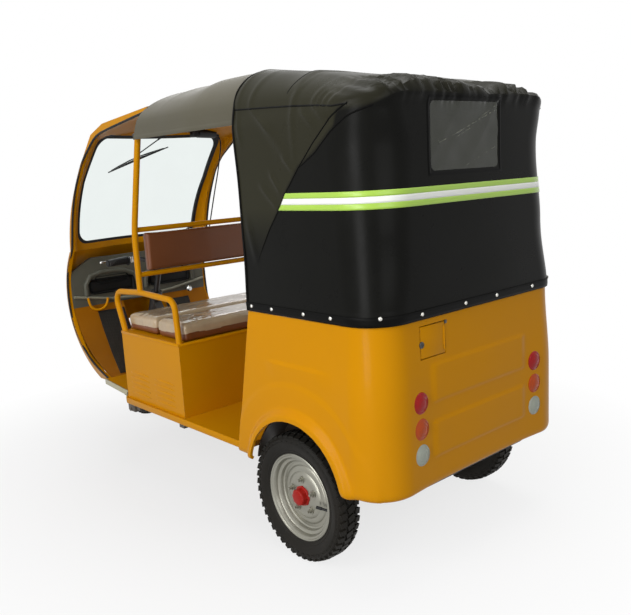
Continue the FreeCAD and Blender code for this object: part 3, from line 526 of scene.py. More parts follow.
def body_column(i):
    """Share round the back of column i, closer together where the shape is finer."""
    side, corner, rear = BODY_COLUMNS
    total = 2 * side + 2 * corner + rear
    k = i * total
    stops = (0, side, side + corner, side + corner + rear, total - side, total)
    marks = (0, SIDE_SHARE, SIDE_SHARE + CORNER_SHARE, 1 - SIDE_SHARE - CORNER_SHARE,
             1 - SIDE_SHARE, 1)
    for a, b, p, q in zip(stops, stops[1:], marks, marks[1:]):
        if k <= b + SAME:
            return p + (q - p) * (k - a) / (b - a)
    return 1.0


class RICKSHAW_OT_body(bpy.types.Operator):
    """Pressed steel rear body with its wheel arches and ribs"""
    bl_idname = "rickshaw.body"
    bl_label = "Rear body"

    def execute(self, context):
        side, corner, rear = BODY_COLUMNS
        bm = sheet_of(2 * side + 2 * corner + rear, 98,
                      lambda u, v: body_point(body_column(u), v))
        obj = piece(bm, "rear_body_shell", yellow(), slot="yellow_paint", recalc=False,
                    replaces=("quarter_panels", "rear_panel"))
        thicken(obj, sizes().panel_wall)
        settle(obj)
        arches = bmesh.new()
        rod(arches, (-1, ARCH.y, ARCH.z), (1, ARCH.y, ARCH.z), ARCH_RADIUS, sides=128)
        hole = bmesh.new()
        gap = Vector((FLAP_GAP, 0.1, FLAP_GAP))
        low, high = (Vector((p.x, BODY_REAR, p.z)) for p in FLAP)
        block(hole, low - gap, high + gap)
        carve(obj, arches, hole)
        return {"FINISHED"}


# --------------------------------------------------------------------- hood
HEM = JOINT + 0.004
HALF_KEYS = ((HEM, 0.5305), (1.15, 0.519), (1.42, 0.511), (1.58, 0.514), (1.66, 0.502))
REAR_KEYS = ((HEM, 1.3955), (1.20, 1.386), (1.45, 1.378), (1.60, 1.379), (1.70, 1.386))
CORNER_KEYS = ((HEM, 0.140), (1.20, 0.165), (1.48, 0.185), (1.62, 0.150), (1.70, 0.110))
HOOP = (0.726, 1.030)  # places along of the two hoops that carry the hood
HOOD_FRONT, HOOD_LEAN = 0.735, 0.035  # the front edge at its foot, and how far it leans forward


def edge_height(u):
    """Height of the fold between the hood's walls and its roof."""
    return drawn(((0, 1.655), (0.11, 1.645), (0.185, 1.637), (0.257, 1.627), (0.30, 1.618),
                  (0.33, 1.622), (0.36, 1.646), (0.41, 1.652), (0.5, 1.641)), min(u, 1 - u))


WRINKLES = (  # along, height, along, height, width, rise: creases of the side panels
    (0.803, 1.646, 0.912, 1.562, 0.007, 0.0060), (1.079, 1.616, 1.135, 1.564, 0.007, 0.0060),
    (1.135, 1.626, 1.189, 1.579, 0.006, 0.0070), (1.158, 1.624, 1.207, 1.583, 0.006, 0.0070),
    (1.184, 1.623, 1.228, 1.590, 0.006, 0.0065), (1.210, 1.622, 1.244, 1.603, 0.006, 0.0055),
    (0.976, 1.471, 1.018, 1.428, 0.007, 0.0055), (0.903, 1.416, 0.951, 1.355, 0.008, 0.0055),
    (0.850, 1.374, 0.932, 1.305, 0.009, 0.0055), (0.729, 1.645, 0.745, 1.535, 0.009, 0.0045),
    (0.880, 1.590, 1.000, 1.470, 0.020, 0.0040), (0.760, 1.250, 0.800, 1.120, 0.016, 0.0035),
)


def from_line(x, y, a, b, c, d):
    """Share along the line from a, b to c, d of the point nearest x, y, and its distance."""
    run, to = Vector((c - a, d - b)), Vector((x - a, y - b))
    return to.dot(run) / run.length_squared, abs(to.cross(run)) / run.length


def creases(along, height, shift):
    """Rise of the side panel's wrinkles at a place."""
    rise = 0.0
    for *line, width, high in WRINKLES:
        t, off = from_line(along - shift, height, *line)
        rise += high * math.exp(-(off / width) ** 2) * smooth(-0.35, 0.2, t) * \
            (1 - smooth(0.7, 1.3, t))
    return rise


# along, height: the slanting seam, and the lower edge of the strip that is sewn behind it
DIAGONAL = ((0.735, 0.990), (0.778, 1.070), (0.883, 1.227), (0.938, 1.296), (0.978, 1.355),
            (1.050, 1.435), (1.131, 1.510), (1.218, 1.580), (1.285, 1.620))
STRIP = ((1.045, 1.430), (1.135, 1.478), (1.210, 1.535), (1.280, 1.580), (1.345, 1.606))


def seam_height(keys, along):
    """Height of a seam over a place along the side."""
    if along < keys[0][0]:
        return keys[0][1] - (keys[0][0] - along) * 2
    return drawn(keys, along)


def gathers(across, amount=0.0045):
    """Bunched folds of the vinyl along the rear bow."""
    wave = noise.noise((across * 17, 3.1, 0.0)) + 0.6 * noise.noise((across * 41, 7.7, 1.0))
    return amount * (1 - 2.4 * min(1.0, abs(wave) * 1.5))


def hood_front(z):
    """Where the leaning front edge of the hood's sides is at a height."""
    return HOOD_FRONT - HOOD_LEAN * min(1, (z - JOINT) / (ROOF_EDGE - JOINT))


def hood_wall(u, z, proud=0.0):
    """A point on the hood's wall, and the way out of it."""
    front = hood_front(z)
    half, rear = between(HALF_KEYS, z), between(REAR_KEYS, z)
    place, out = round_back(u, front, half, rear, between(CORNER_KEYS, z))
    w = min(u, 1 - u)
    top = edge_height(u)
    behind = smooth(SIDE_SHARE - 0.04, SIDE_SHARE + CORNER_SHARE, w)
    push = proud + 0.009 * bell(z, top - 0.004, 0.020) * behind
    push += gathers(place.x, 0.003) * bell(z, top, 0.03) * smooth(0.33, 0.38, w)
    loose = smooth(HEM, HEM + 0.12, z)
    push += 0.0030 * loose * noise.noise((place.x * 3, place.y * 3 + 5, z * 2.4))
    if w < SIDE_SHARE:
        push += creases(place.y, z, 0.0 if u < 0.5 else 0.03) * loose
        push += 0.0035 * bell(place.y, HOOP[1], 0.012) * smooth(1.35, 1.62, z)
    push += 0.0040 * bell(z, HEM + 0.030, 0.004) - 0.0010 * bell(z, HEM + 0.036, 0.003)
    return place + out * push + Vector((0, 0, z)), out


CROWN_KEYS = ((0.690, 1.7960), (0.726, 1.7985), (1.030, 1.7350), (1.220, 1.7020), (1.390, 1.6930))
TURN_KEYS = ((0.690, 0.36), (1.030, 0.28), (1.390, 0.26))


def roof_round(t):
    """Rise of a bowed section at share t of the way in from its edge."""
    return math.sqrt(max(0.0, 1 - (1 - t) ** 2.5))


def hoop_round(t, turn):
    """Rise of a hoop's section at share t of the way in: bent up to turn, then near level."""
    bent = (1 - (1 - min(1.0, t / turn)) ** 2) ** 0.6
    return 0.96 * bent + 0.04 * (1 - (1 - t) ** 2)


def hood_edge(u):
    return hood_wall(u, edge_height(u))[0]


def spaced(t):
    """Even steps, closer together at both ends."""
    return 0.30 * t + 0.70 * (1 - math.cos(math.pi * t)) / 2


REAR_FROM = SIDE_SHARE + CORNER_SHARE / 2


def hood_roof(p, q):
    """A point on the hood's roof: p from its front to the rear bow, q from left to right."""
    q = spaced(q)
    left, right = hood_edge(p * REAR_FROM), hood_edge(1 - p * REAR_FROM)
    back = hood_edge(REAR_FROM + q * (1 - 2 * REAR_FROM))
    a, b = hood_edge(0), hood_edge(1)
    c, d = hood_edge(REAR_FROM), hood_edge(1 - REAR_FROM)
    front = a.lerp(b, q)
    base = left.lerp(right, q) + front.lerp(back, p) - \
        a.lerp(b, q).lerp(c.lerp(d, q), p)
    middle = (left.z + right.z) / 2 + (hood_edge(0.5).z - c.z) * smooth(0.6, 1, p)
    crown = drawn(CROWN_KEYS, base.y, 0.001)
    # towards the rear bow the roof dips off its middle, and falls away to both sides
    late = smooth(0.70, 0.95, p)
    crown -= 0.020 * bell(base.x, -0.07, 0.14) * late
    crown -= (0.016 * smooth(-0.22, -0.29, base.x) + 0.034 * smooth(-0.25, -0.45, base.x)) * late
    crown -= 0.010 * smooth(0.28, 0.40, base.x) * late
    rise = (crown - middle) * hoop_round(ridge(q), drawn(TURN_KEYS, base.y))
    rise *= roof_round(min(1.0, (1 - p) / 0.10)) if p > 0.9 else 1
    inside = smooth(0, 0.06, min(q, 1 - q)) * smooth(0, 0.02, 1 - p)
    for y, high, before in ((HOOP[0], 0.0015, 0.012), (HOOP[1], 0.0045, 0.050)):
        rise += high * bell(base.y, y, before if base.y < y else 0.007) * \
            smooth(0, 0.03, min(q, 1 - q))
    fold = gathers(base.x + 0.12 * (1 - p), 0.0095) * smooth(0.72, 0.93, p) * inside
    rise += fold + 0.0035 * noise.noise((base.x * 4, base.y * 5, 2.0)) * inside
    return base + Vector((0, 0.8 * fold * smooth(0.90, 0.96, p), rise))


HOOD_SIDE_COLUMNS, HOOD_REAR_COLUMNS = 72, 96


def hood_column(i):
    """Share round the back of hood column i; the rear wall's columns meet the roof's."""
    side, rear = HOOD_SIDE_COLUMNS, HOOD_REAR_COLUMNS
    total = 2 * side + rear
    k = i * total
    if k <= side + SAME:
        return REAR_FROM * k / side
    if k >= total - side - SAME:
        return 1 - REAR_FROM * (total - k) / side
    return REAR_FROM + spaced((k - side) / rear) * (1 - 2 * REAR_FROM)


def mark(obj, name, value):
    """Stores value(point) on each point of a mesh."""
    layer = obj.data.attributes.new(name, "FLOAT", "POINT")
    for vert, item in zip(obj.data.vertices, layer.data):
        item.value = value(vert.co)


def side_tone_and_painted_shade(co):
    """1 on the side panel, its strip and the roof, 0 on the rear wrap; a painted shade takes the
    side's tone down towards the rear and the bottom, so that the top and the roof stay lighter.
    """
    line = STRIP if co.y > STRIP[0][0] else DIAGONAL
    height = seam_height(line, co.y)
    if co.y > 1.24:
        height = max(height, 1.60 + 0.045 * smooth(0.50, 0.37, abs(co.x)))
    edge = min(1.0, max(0.0, 0.5 + (co.z - height) / 0.04))
    # painted shade: less of the side's lighter tone towards the rear and towards the bottom
    shade_towards_rear_and_bottom = 0.55 * smooth(1.10, 1.30, co.y) + 0.9 * smooth(1.45, 1.10, co.z)
    return min(edge, max(0.0, 1.30 - shade_towards_rear_and_bottom))


SEAM_WIDE = 0.0064
BOW_SHADOW_LINE = 0.478  # share of the roof's length at which a dark strip paints the shadow line behind the second hoop


class RICKSHAW_OT_hood(bpy.types.Operator):
    """Vinyl hood: one curved sheet over the rear, with its seams, hem and window"""
    bl_idname = "rickshaw.hood"
    bl_label = "Hood"

    def execute(self, context):
        def wall(u, v):
            share = hood_column(u)
            return hood_wall(share, HEM + (edge_height(share) - HEM) * v)[0]

        bm = sheet_of(2 * HOOD_SIDE_COLUMNS + HOOD_REAR_COLUMNS, 84, wall)
        sheet_of(HOOD_SIDE_COLUMNS, HOOD_REAR_COLUMNS, hood_roof, bm)
        bmesh.ops.remove_doubles(bm, verts=bm.verts[:], dist=2e-4)
        # The side pieces and the rear wrap are two tones of vinyl; the tone attribute also carries
        # painted shade towards the rear and the bottom.
        look = toned("hood_vinyl", colours().side_vinyl, colours().vinyl, "panel_tone_and_painted_shade",
                     rough=0.30, vary=0.22, patch=5, grain=0.16, grain_size=420,
                     depth=0.0005, shine=0.06, spread=0.07)
        obj = piece(bm, "hood", look, slot="black_vinyl", recalc=False, crease=60,
                    replaces=("canopy_sides", "canopy_rear", "canopy_roof"))
        thicken(obj, sizes().vinyl)
        settle(obj, 60)
        hole = bmesh.new()
        block(hole, (WINDOW[0].x, BODY_REAR - 0.1, WINDOW[0].z),
              (WINDOW[1].x, BODY_REAR + 0.1, WINDOW[1].z))
        uprights = [e for e in hole.edges
                    if abs(e.verts[0].co.y - e.verts[1].co.y) > 0.1]
        rounded(hole, uprights, 0.018, 5)
        carve(obj, hole)
        mark(obj, "panel_tone_and_painted_shade", side_tone_and_painted_shade)
        self.trims()
        self.rivets()
        self.stripe()
        self.window()
        return {"FINISHED"}

    def trims(self):
        """Bound hem, sewn seams, a dark strip that paints the shadow line behind the second hoop,
        and the piping of the front edge.
        """
        dark = binding()
        band = sheet_of(240, 3, lambda u, v: hood_wall(
            u, HEM - 0.001 + sizes().hem_high * v, 0.0030 - 0.002 * abs(2 * v - 1))[0])
        hem = piece(band, "hood_hem", dark, slot="black_vinyl", recalc=False)
        thicken(hem, 0.0012, 0)
        piping = bmesh.new()
        for sign in SIDES:
            for line, start, end in ((DIAGONAL, 0.800, 1.283), (STRIP, 1.046, 1.345)):
                def seam(u, v):
                    along = start + (end - start) * u
                    thin = smooth(0, 0.12, u)
                    z = seam_height(line, along) + (v - 0.5) * SEAM_WIDE * (0.3 + 0.7 * thin)
                    share = side_share(along, z)
                    lift = 0.0024 * ridge(v) * thin + 0.0004
                    return hood_wall(share if sign > 0 else 1 - share, z, lift)[0]
                sheet_of(100, 4, seam, piping)

            def fold(u, v):
                share = 0.004 + (side_share(1.283, 1.62) - 0.004) * u
                share = share if sign > 0 else 1 - share
                lift = 0.0020 * ridge(v) + 0.0003
                return hood_wall(share, edge_height(share) + (v - 0.5) * 0.006 - 0.004, lift)[0]
            sheet_of(80, 4, fold, piping)

        # A dark strip across the roof paints the shadow line behind the second hoop's ridge.
        def bow(u, v):
            place = hood_roof(BOW_SHADOW_LINE + (v - 0.5) * 0.007, 0.035 + 0.93 * u)
            return place + Vector((0, 0, 0.0014 * ridge(v) + 0.0003))
        sheet_of(160, 4, bow, piping)
        piece(piping, "hood_seams_and_shadow_line", dark, slot="black_vinyl", recalc=False)
        edge = [hood_wall(0.004, HEM + (1.655 - HEM) * k / 12, 0.001)[0] for k in range(13)]
        arc = [hood_roof(0.004, k / 24) for k in range(1, 24)]
        other = [Vector((-p.x, p.y, p.z)) for p in reversed(edge)]
        sweep("hood_front_binding", edge + arc + other, 0.0045, dark, slot="black_vinyl",
              sides=3)

    def rivets(self):
        """Rivets through the hem; the corner one sits a little higher than the row."""
        bm = bmesh.new()
        row = 0.947
        spots = [(side_share(y, row), row) for y in (0.766, 0.883, 1.055, 1.189)]
        spots += [(SIDE_SHARE + 0.55 * CORNER_SHARE, row + 0.009)]
        spots += [(rear_share(x, row), row) for x in (0.321, 0.091)]
        for share, z in spots:
            for u in (share, 1 - share):
                place, out = hood_wall(u, z, 0.002)
                lathe(bm, [(0.0072, 0), (0.0072, 0.0012), (0.0055, 0.0034), (0.0024, 0.0046),
                           (0.0, 0.0048)], place, out, steps=16)
        piece(bm, "hem_rivets", finish("rivet_steel", shade(205, 203, 196), rough=0.25,
              metal=0.9, grain=0.1), slot="steel_rim")

    def stripe(self):
        """Reflective stripe round the back, in three bands."""
        low, high = sizes().stripe_low, sizes().stripe_high

        def band(a, b):
            def place(u, v):
                share = a + (b - a) * v
                z = low + (high - low) * share
                start = side_share(0.940 + 0.038 * share, z)
                return hood_wall(start + (1 - 2 * start) * u, z, 0.0022)[0]
            return place
        for name, a, b, tint in (("stripe_low", 0, 0.33, colours().lime),
                                 ("stripe_middle", 0.33, 0.68, shade(244, 246, 240)),
                                 ("stripe_high", 0.68, 1, colours().lime)):
            look = finish(name + "_tape", tint, rough=0.32, vary=0.05, grain=0.25,
                          grain_size=900, coat=0.2)
            obj = piece(sheet_of(220, 3, band(a, b)), name, look, slot="black_vinyl",
                        recalc=False)
            thicken(obj, 0.0008, 0)

    def window(self):
        """Creased film pane behind the hole, and the binding sewn round it."""
        wide, high = WINDOW[1].x - WINDOW[0].x, WINDOW[1].z - WINDOW[0].z
        seam = 0.006

        def pane(u, v):
            x = WINDOW[1].x + seam - (wide + 2 * seam) * u
            z = WINDOW[0].z - seam + (high + 2 * seam) * v
            dent = 0.0016 * noise.noise((x * 14, z * 22, 0.5))
            dent += 0.0022 * (1 - 2 * abs(noise.noise((x * 9 + z * 8, z * 3, 4.0))))
            dent += 0.0012 * scuffs(Vector((x, 0, z)))
            return hood_wall(rear_share(x, z), z, -0.0030 + dent)[0]
        # The film's dark tint is a painted shade of the hood's dark inside behind it; the pale tone
        # along the scuffs is rubbed film.
        film = toned("pane_film_painted_shade", shade(128, 130, 112), shade(52, 54, 44), "scuffed",
                     rough=0.16, vary=0.30, patch=9, grain=0.2, grain_size=60, alpha=0.86,
                     shine=0.4)
        obj = piece(sheet_of(140, 84, pane), "window_film_pane", film, slot="window_film",
                    replaces=("rear_window",), recalc=False)
        mark(obj, "scuffed", scuffs)
        thicken(obj, 0.0006, 0)

        def border(u, v):
            k = (u * 4) % 4
            x, z = ((k, 0), (1, k - 1), (3 - k, 1), (0, 4 - k))[min(3, int(k))]
            grow = 0.004 + 0.012 * v
            x = WINDOW[0].x - grow + (wide + 2 * grow) * x
            z = WINDOW[0].z - grow + (high + 2 * grow) * z
            return hood_wall(rear_share(x, z), z, 0.0022 - 0.0016 * abs(2 * v - 1))[0]
        bm = sheet_of(160, 4, border)
        bmesh.ops.remove_doubles(bm, verts=bm.verts[:], dist=1e-5)
        piece(bm, "window_binding", binding(), slot="black_vinyl", recalc=False)


SCUFFS = (  # across, height, across, height, width: bright creases of the window film
    (0.186, 1.488, 0.066, 1.527, 0.0026), (0.066, 1.527, -0.120, 1.593, 0.0030),
    (0.120, 1.497, 0.010, 1.536, 0.0020), (0.057, 1.408, -0.133, 1.474, 0.0018),
    (-0.020, 1.560, -0.128, 1.612, 0.0024), (0.190, 1.500, 0.176, 1.470, 0.0022),
)


def scuffs(co):
    """How far a place on the film is creased and rubbed, 0 to 1."""
    rub = 0.0
    for *line, width in SCUFFS:
        t, off = from_line(co.x, co.z, *line)
        if 0 < t < 1:
            break_up = 0.62 + 0.5 * noise.noise((co.x * 60, co.z * 60, width * 1000))
            rub = max(rub, math.exp(-(off / width) ** 2) * min(1.0, max(0.0, break_up)))
    return rub


def side_share(along, z):
    """Share round the back of a place along the side wall."""
    front = hood_front(z)
    end = between(REAR_KEYS, z) - between(CORNER_KEYS, z)
    if along <= end:
        return SIDE_SHARE * (along - front) / (end - front)
    radius = between(CORNER_KEYS, z)
    return SIDE_SHARE + CORNER_SHARE * math.asin(min(1, (along - end) / radius)) / (math.pi / 2)


def rear_share(across, z):
    """Share round the back of a place across the rear wall."""
    flat = between(HALF_KEYS, z) - between(CORNER_KEYS, z)
    return 0.5 - (0.5 - SIDE_SHARE - CORNER_SHARE) * across / flat


# --------------------------------------------------------- front roof cover
COVER_CROWN = ((-0.05, 1.816), (0.10, 1.822), (0.40, 1.818), (0.72, 1.794))
COVER_LEAN = 60 / 145  # along for each height, at the front edge
COVER_DROP = 0.10  # share of the width that hangs down at each side
COVER_FOLD = 1.655  # height at which the sides turn into the top
COVER_HALF, COVER_END = 0.487, 0.722  # half width at the front, and where the cover ends


def cover_point(u, v):
    """A point on the front roof cover: u from its leaning front edge to the back, v from
    left hem to right hem."""
    def leaned(x, y, z):
        return Vector((x, y + COVER_LEAN * (z - ROOF_EDGE) * (1 - u), z))
    y = COVER[0].y + (COVER_END - COVER[0].y) * u
    half = COVER_HALF + 0.013 * u
    if v < COVER_DROP or v > 1 - COVER_DROP:
        t = min(v, 1 - v) / COVER_DROP
        x = half + 0.004 * (1 - t)
        z = ROOF_EDGE + (COVER_FOLD - ROOF_EDGE) * t
        loose = 1 - t
        x += 0.003 * loose * noise.noise((0.0, y * 7, 1.0 if v < 0.5 else 9.0))
        return leaned(x if v < 0.5 else -x, y, z)
    q = spaced((v - COVER_DROP) / (1 - 2 * COVER_DROP))
    x = half * (1 - 2 * q)
    crown = drawn(COVER_CROWN, y, 0.002)
    t, hoop = ridge(q), smooth(0.15, 0.72, y)
    round_up = roof_round(t) + (hoop_round(t, TURN_KEYS[0][1]) - roof_round(t)) * hoop
    z = COVER_FOLD + (crown - COVER_FOLD) * round_up
    z += 0.0025 * noise.noise((x * 3, y * 3, 6.0)) * smooth(0, 0.1, min(q, 1 - q))
    return leaned(x, y, z)


class RICKSHAW_OT_roof_cover(bpy.types.Operator):
    """Vinyl cover of the front roof, from the cap to the hood"""
    bl_idname = "rickshaw.roof_cover"
    bl_label = "Front roof cover"

    def execute(self, context):
        look = finish("roof_vinyl", colours().roof_vinyl, rough=0.46, vary=0.12, patch=3.5,
                      grain=0.14, grain_size=500, sheen=0.10, shine=0.25)
        obj = piece(sheet_of(90, 120, cover_point), "front_cover", look, crease=60,
                    slot="black_vinyl", replaces=("front_roof_cover",), recalc=False)
        thicken(obj, sizes().vinyl)
        settle(obj, 60)
        bm = bmesh.new()
        for side in (0.0, 1.0):
            def hem(u, v):
                place = cover_point(0.004 + 0.99 * u, abs(side - 0.035 * v))
                lift = 0.0022 - 0.0016 * abs(2 * v - 1)
                return place + Vector((lift if side == 0 else -lift, 0, -0.001))
            sheet_of(80, 4, hem, bm)
        piece(bm, "cover_hem", look, slot="black_vinyl", recalc=False)
        return {"FINISHED"}


# -------------------------------------------------------------- soft seats
CUSHION_PRESSURE, CUSHION_FRAMES = 4.0, 20


def stuffed(name, low, high, material, replaces, puff, voxel=0.006, round_by=0.016,
            notch=None):
    """A cushion: a rounded block swelled as cloth, then smoothed."""
    inner = puff * 0.75
    low, high = Vector(low), Vector(high)
    bm = bmesh.new()
    front = low.y + (notch[1] if notch else 0)
    block(bm, low + Vector((inner, inner + front - low.y, 0)), high - Vector((inner, inner, inner)),
          round_by, 3)
    if notch:
        block(bm, Vector((-notch[0] + inner, low.y + inner, low.z)),
              Vector((notch[0] - inner, front + 0.05, high.z - inner)), round_by, 3)
    obj = shown(name, mesh_of(bm, name))
    remesh = obj.modifiers.new("Remesh", "REMESH")
    remesh.mode, remesh.voxel_size = "VOXEL", voxel
    settle(obj, 60)
    start = [v.co.copy() for v in obj.data.vertices]
    cloth = obj.modifiers.new("Cloth", "CLOTH")
    cloth.settings.use_pressure = True
    cloth.settings.uniform_pressure_force = CUSHION_PRESSURE
    cloth.settings.effector_weights.gravity = 0
    cloth.settings.quality = 4
    cloth.point_cache.frame_start, cloth.point_cache.frame_end = 1, CUSHION_FRAMES
    for step in range(1, CUSHION_FRAMES + 1):
        bpy.context.scene.frame_set(step)
    settle(obj, 60)
    bpy.context.scene.frame_set(1)
    base = low.z + 0.004
    for vert, home in zip(obj.data.vertices, start):
        move = vert.co - home
        if move.length > puff:
            move *= puff / move.length
        place = home + move
        place.z = max(place.z, base)
        for axis in (0, 1):
            place[axis] = min(max(place[axis], low[axis] + 0.001), high[axis] - 0.001)
        if notch and place.y < front and abs(place.x) > notch[0]:
            if front - place.y < abs(place.x) - notch[0]:
                place.y = front
            else:
                place.x = math.copysign(notch[0], place.x)
        vert.co = place
    soft = obj.modifiers.new("Round", "SUBSURF")
    soft.levels = soft.render_levels = 1
    obj.data.materials.clear()
    obj.data.materials.append(material)
    obj.data.shade_smooth()
    keep_piece(obj, "chassis", "brown_vinyl", replaces)
    return obj


def wrapped(cushion, name, low, fall, seed):
    """Clear wrap that covers a cushion's top and hangs part of the way down its sides."""
    bm = opened(baked(cushion))
    spare = [v for v in bm.verts
             if v.co.z < low + fall + 0.010 * noise.noise((v.co.x * 9, v.co.y * 9, seed))]
    bmesh.ops.delete(bm, geom=spare, context="VERTS")
    bm.normal_update()
    for vert in bm.verts:
        fold = 1 - 2 * abs(noise.noise((vert.co.x * 8 + seed, vert.co.y * 15, vert.co.z * 12)))
        fine = noise.noise((vert.co.x * 42, vert.co.y * 30 + seed, vert.co.z * 30))
        vert.co += vert.normal * (0.0015 + 0.0014 * max(0, fold) + 0.0006 * fine)
    # The wrap's pale cream tint is a painted sheen on the clear film.
    look = finish("seat_film_painted_sheen", colours().film, rough=0.13, vary=0.25, patch=11, grain=0.5,
                  grain_size=38, depth=0.002, alpha=0.66, coat=0.6, spread=0.08)
    obj = piece(bm, name, look, recalc=False, crease=80, slot="brown_vinyl")
    return obj


BENCH_STEP = (0.381, 0.144)  # half width between the wheel housings, how far back they reach


class RICKSHAW_OT_seats(bpy.types.Operator):
    """Seat cushions in their clear wrap, and the padded backrests"""
    bl_idname = "rickshaw.seats"
    bl_label = "Seats"

    def execute(self, context):
        hide = finish("seat_vinyl", colours().seat, rough=0.42, vary=0.18, patch=7,
                      grain=0.35, grain_size=320, depth=0.0008, coat=0.1)
        puff = sizes().puff
        for seed, (node, name, notch) in enumerate((
                ("box_cushion_front", "front_cushion", None),
                ("box_cushion_rear", "rear_cushion", None),
                ("rear_seat_cushion", "bench_cushion", BENCH_STEP))):
            low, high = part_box(node)
            cushion = stuffed(name, low, high, hide, (node,), puff, notch=notch)
            wrapped(cushion, name + "_wrap", low.z, 0.034, seed)
        low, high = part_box("rear_seat_back")
        back = stuffed("bench_back", low, high, hide, ("rear_seat_back",), puff, voxel=0.0085)
        wrapped(back, "bench_back_wrap", low.z, 0.02, 7)
        low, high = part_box("backrest_pad")
        stuffed("backrest", low, high, hide, ("backrest_pad",), 0.004, round_by=0.010)
        return {"FINISHED"}


# --------------------------------------------------------------------- wheels
def round_wheel(bm, verts, middle, count):
    """Moves a lug to its wheel and copies it round the axle."""
    bmesh.ops.translate(bm, verts=verts, vec=middle)
    faces = list({f for v in verts for f in v.link_faces})
    bmesh.ops.spin(bm, geom=faces, cent=middle, axis=(1, 0, 0),
                   angle=2 * math.pi * (count - 1) / count, steps=count - 1,
                   use_duplicate=True, use_merge=False)


TREAD_ROWS = (  # share of the width: place, wide; share of a pitch: long, ahead; degrees; drop
    (0.0, 0.30, 0.70, 0.0, 22, 0, 0.0),
    (0.33, 0.25, 0.62, 0.5, 14, 14, 0.0022),
    (-0.33, 0.25, 0.62, 0.5, -14, -14, 0.0022))


def tread(bm, middle, radius, width, count, depth):
    """Three rows of rubber blocks round a tyre."""
    pitch = 2 * math.pi / count
    for offset, wide, long, ahead, twist, lean, drop in TREAD_ROWS:
        made = bmesh.ops.create_cube(bm, size=1)["verts"]
        bmesh.ops.scale(bm, vec=(width * wide, radius * pitch * long, depth * 1.6), verts=made)
        turned(bm, made, math.radians(twist), "Z")
        turned(bm, made, math.radians(lean), "Y")
        bmesh.ops.translate(bm, verts=made,
                            vec=(offset * width, 0, radius - depth * 0.8 - drop))
        turned(bm, made, ahead * pitch, "X")
        round_wheel(bm, made, middle, count)


def lugs(bm, middle, radius, width, count):
    """Shoulder lugs that run down the tyre's sides."""
    pitch = 2 * math.pi / count
    for sign in SIDES:
        made = bmesh.ops.create_cube(bm, size=1)["verts"]
        bmesh.ops.scale(bm, vec=(0.006, radius * pitch * 0.52, 0.020), verts=made)
        turned(bm, made, sign * math.radians(-24), "Y")
        bmesh.ops.translate(bm, verts=made, vec=(sign * (width / 2 - 0.0062), 0, radius - 0.0215))
        turned(bm, made, 0.5 * pitch, "X")
        round_wheel(bm, made, middle, count)


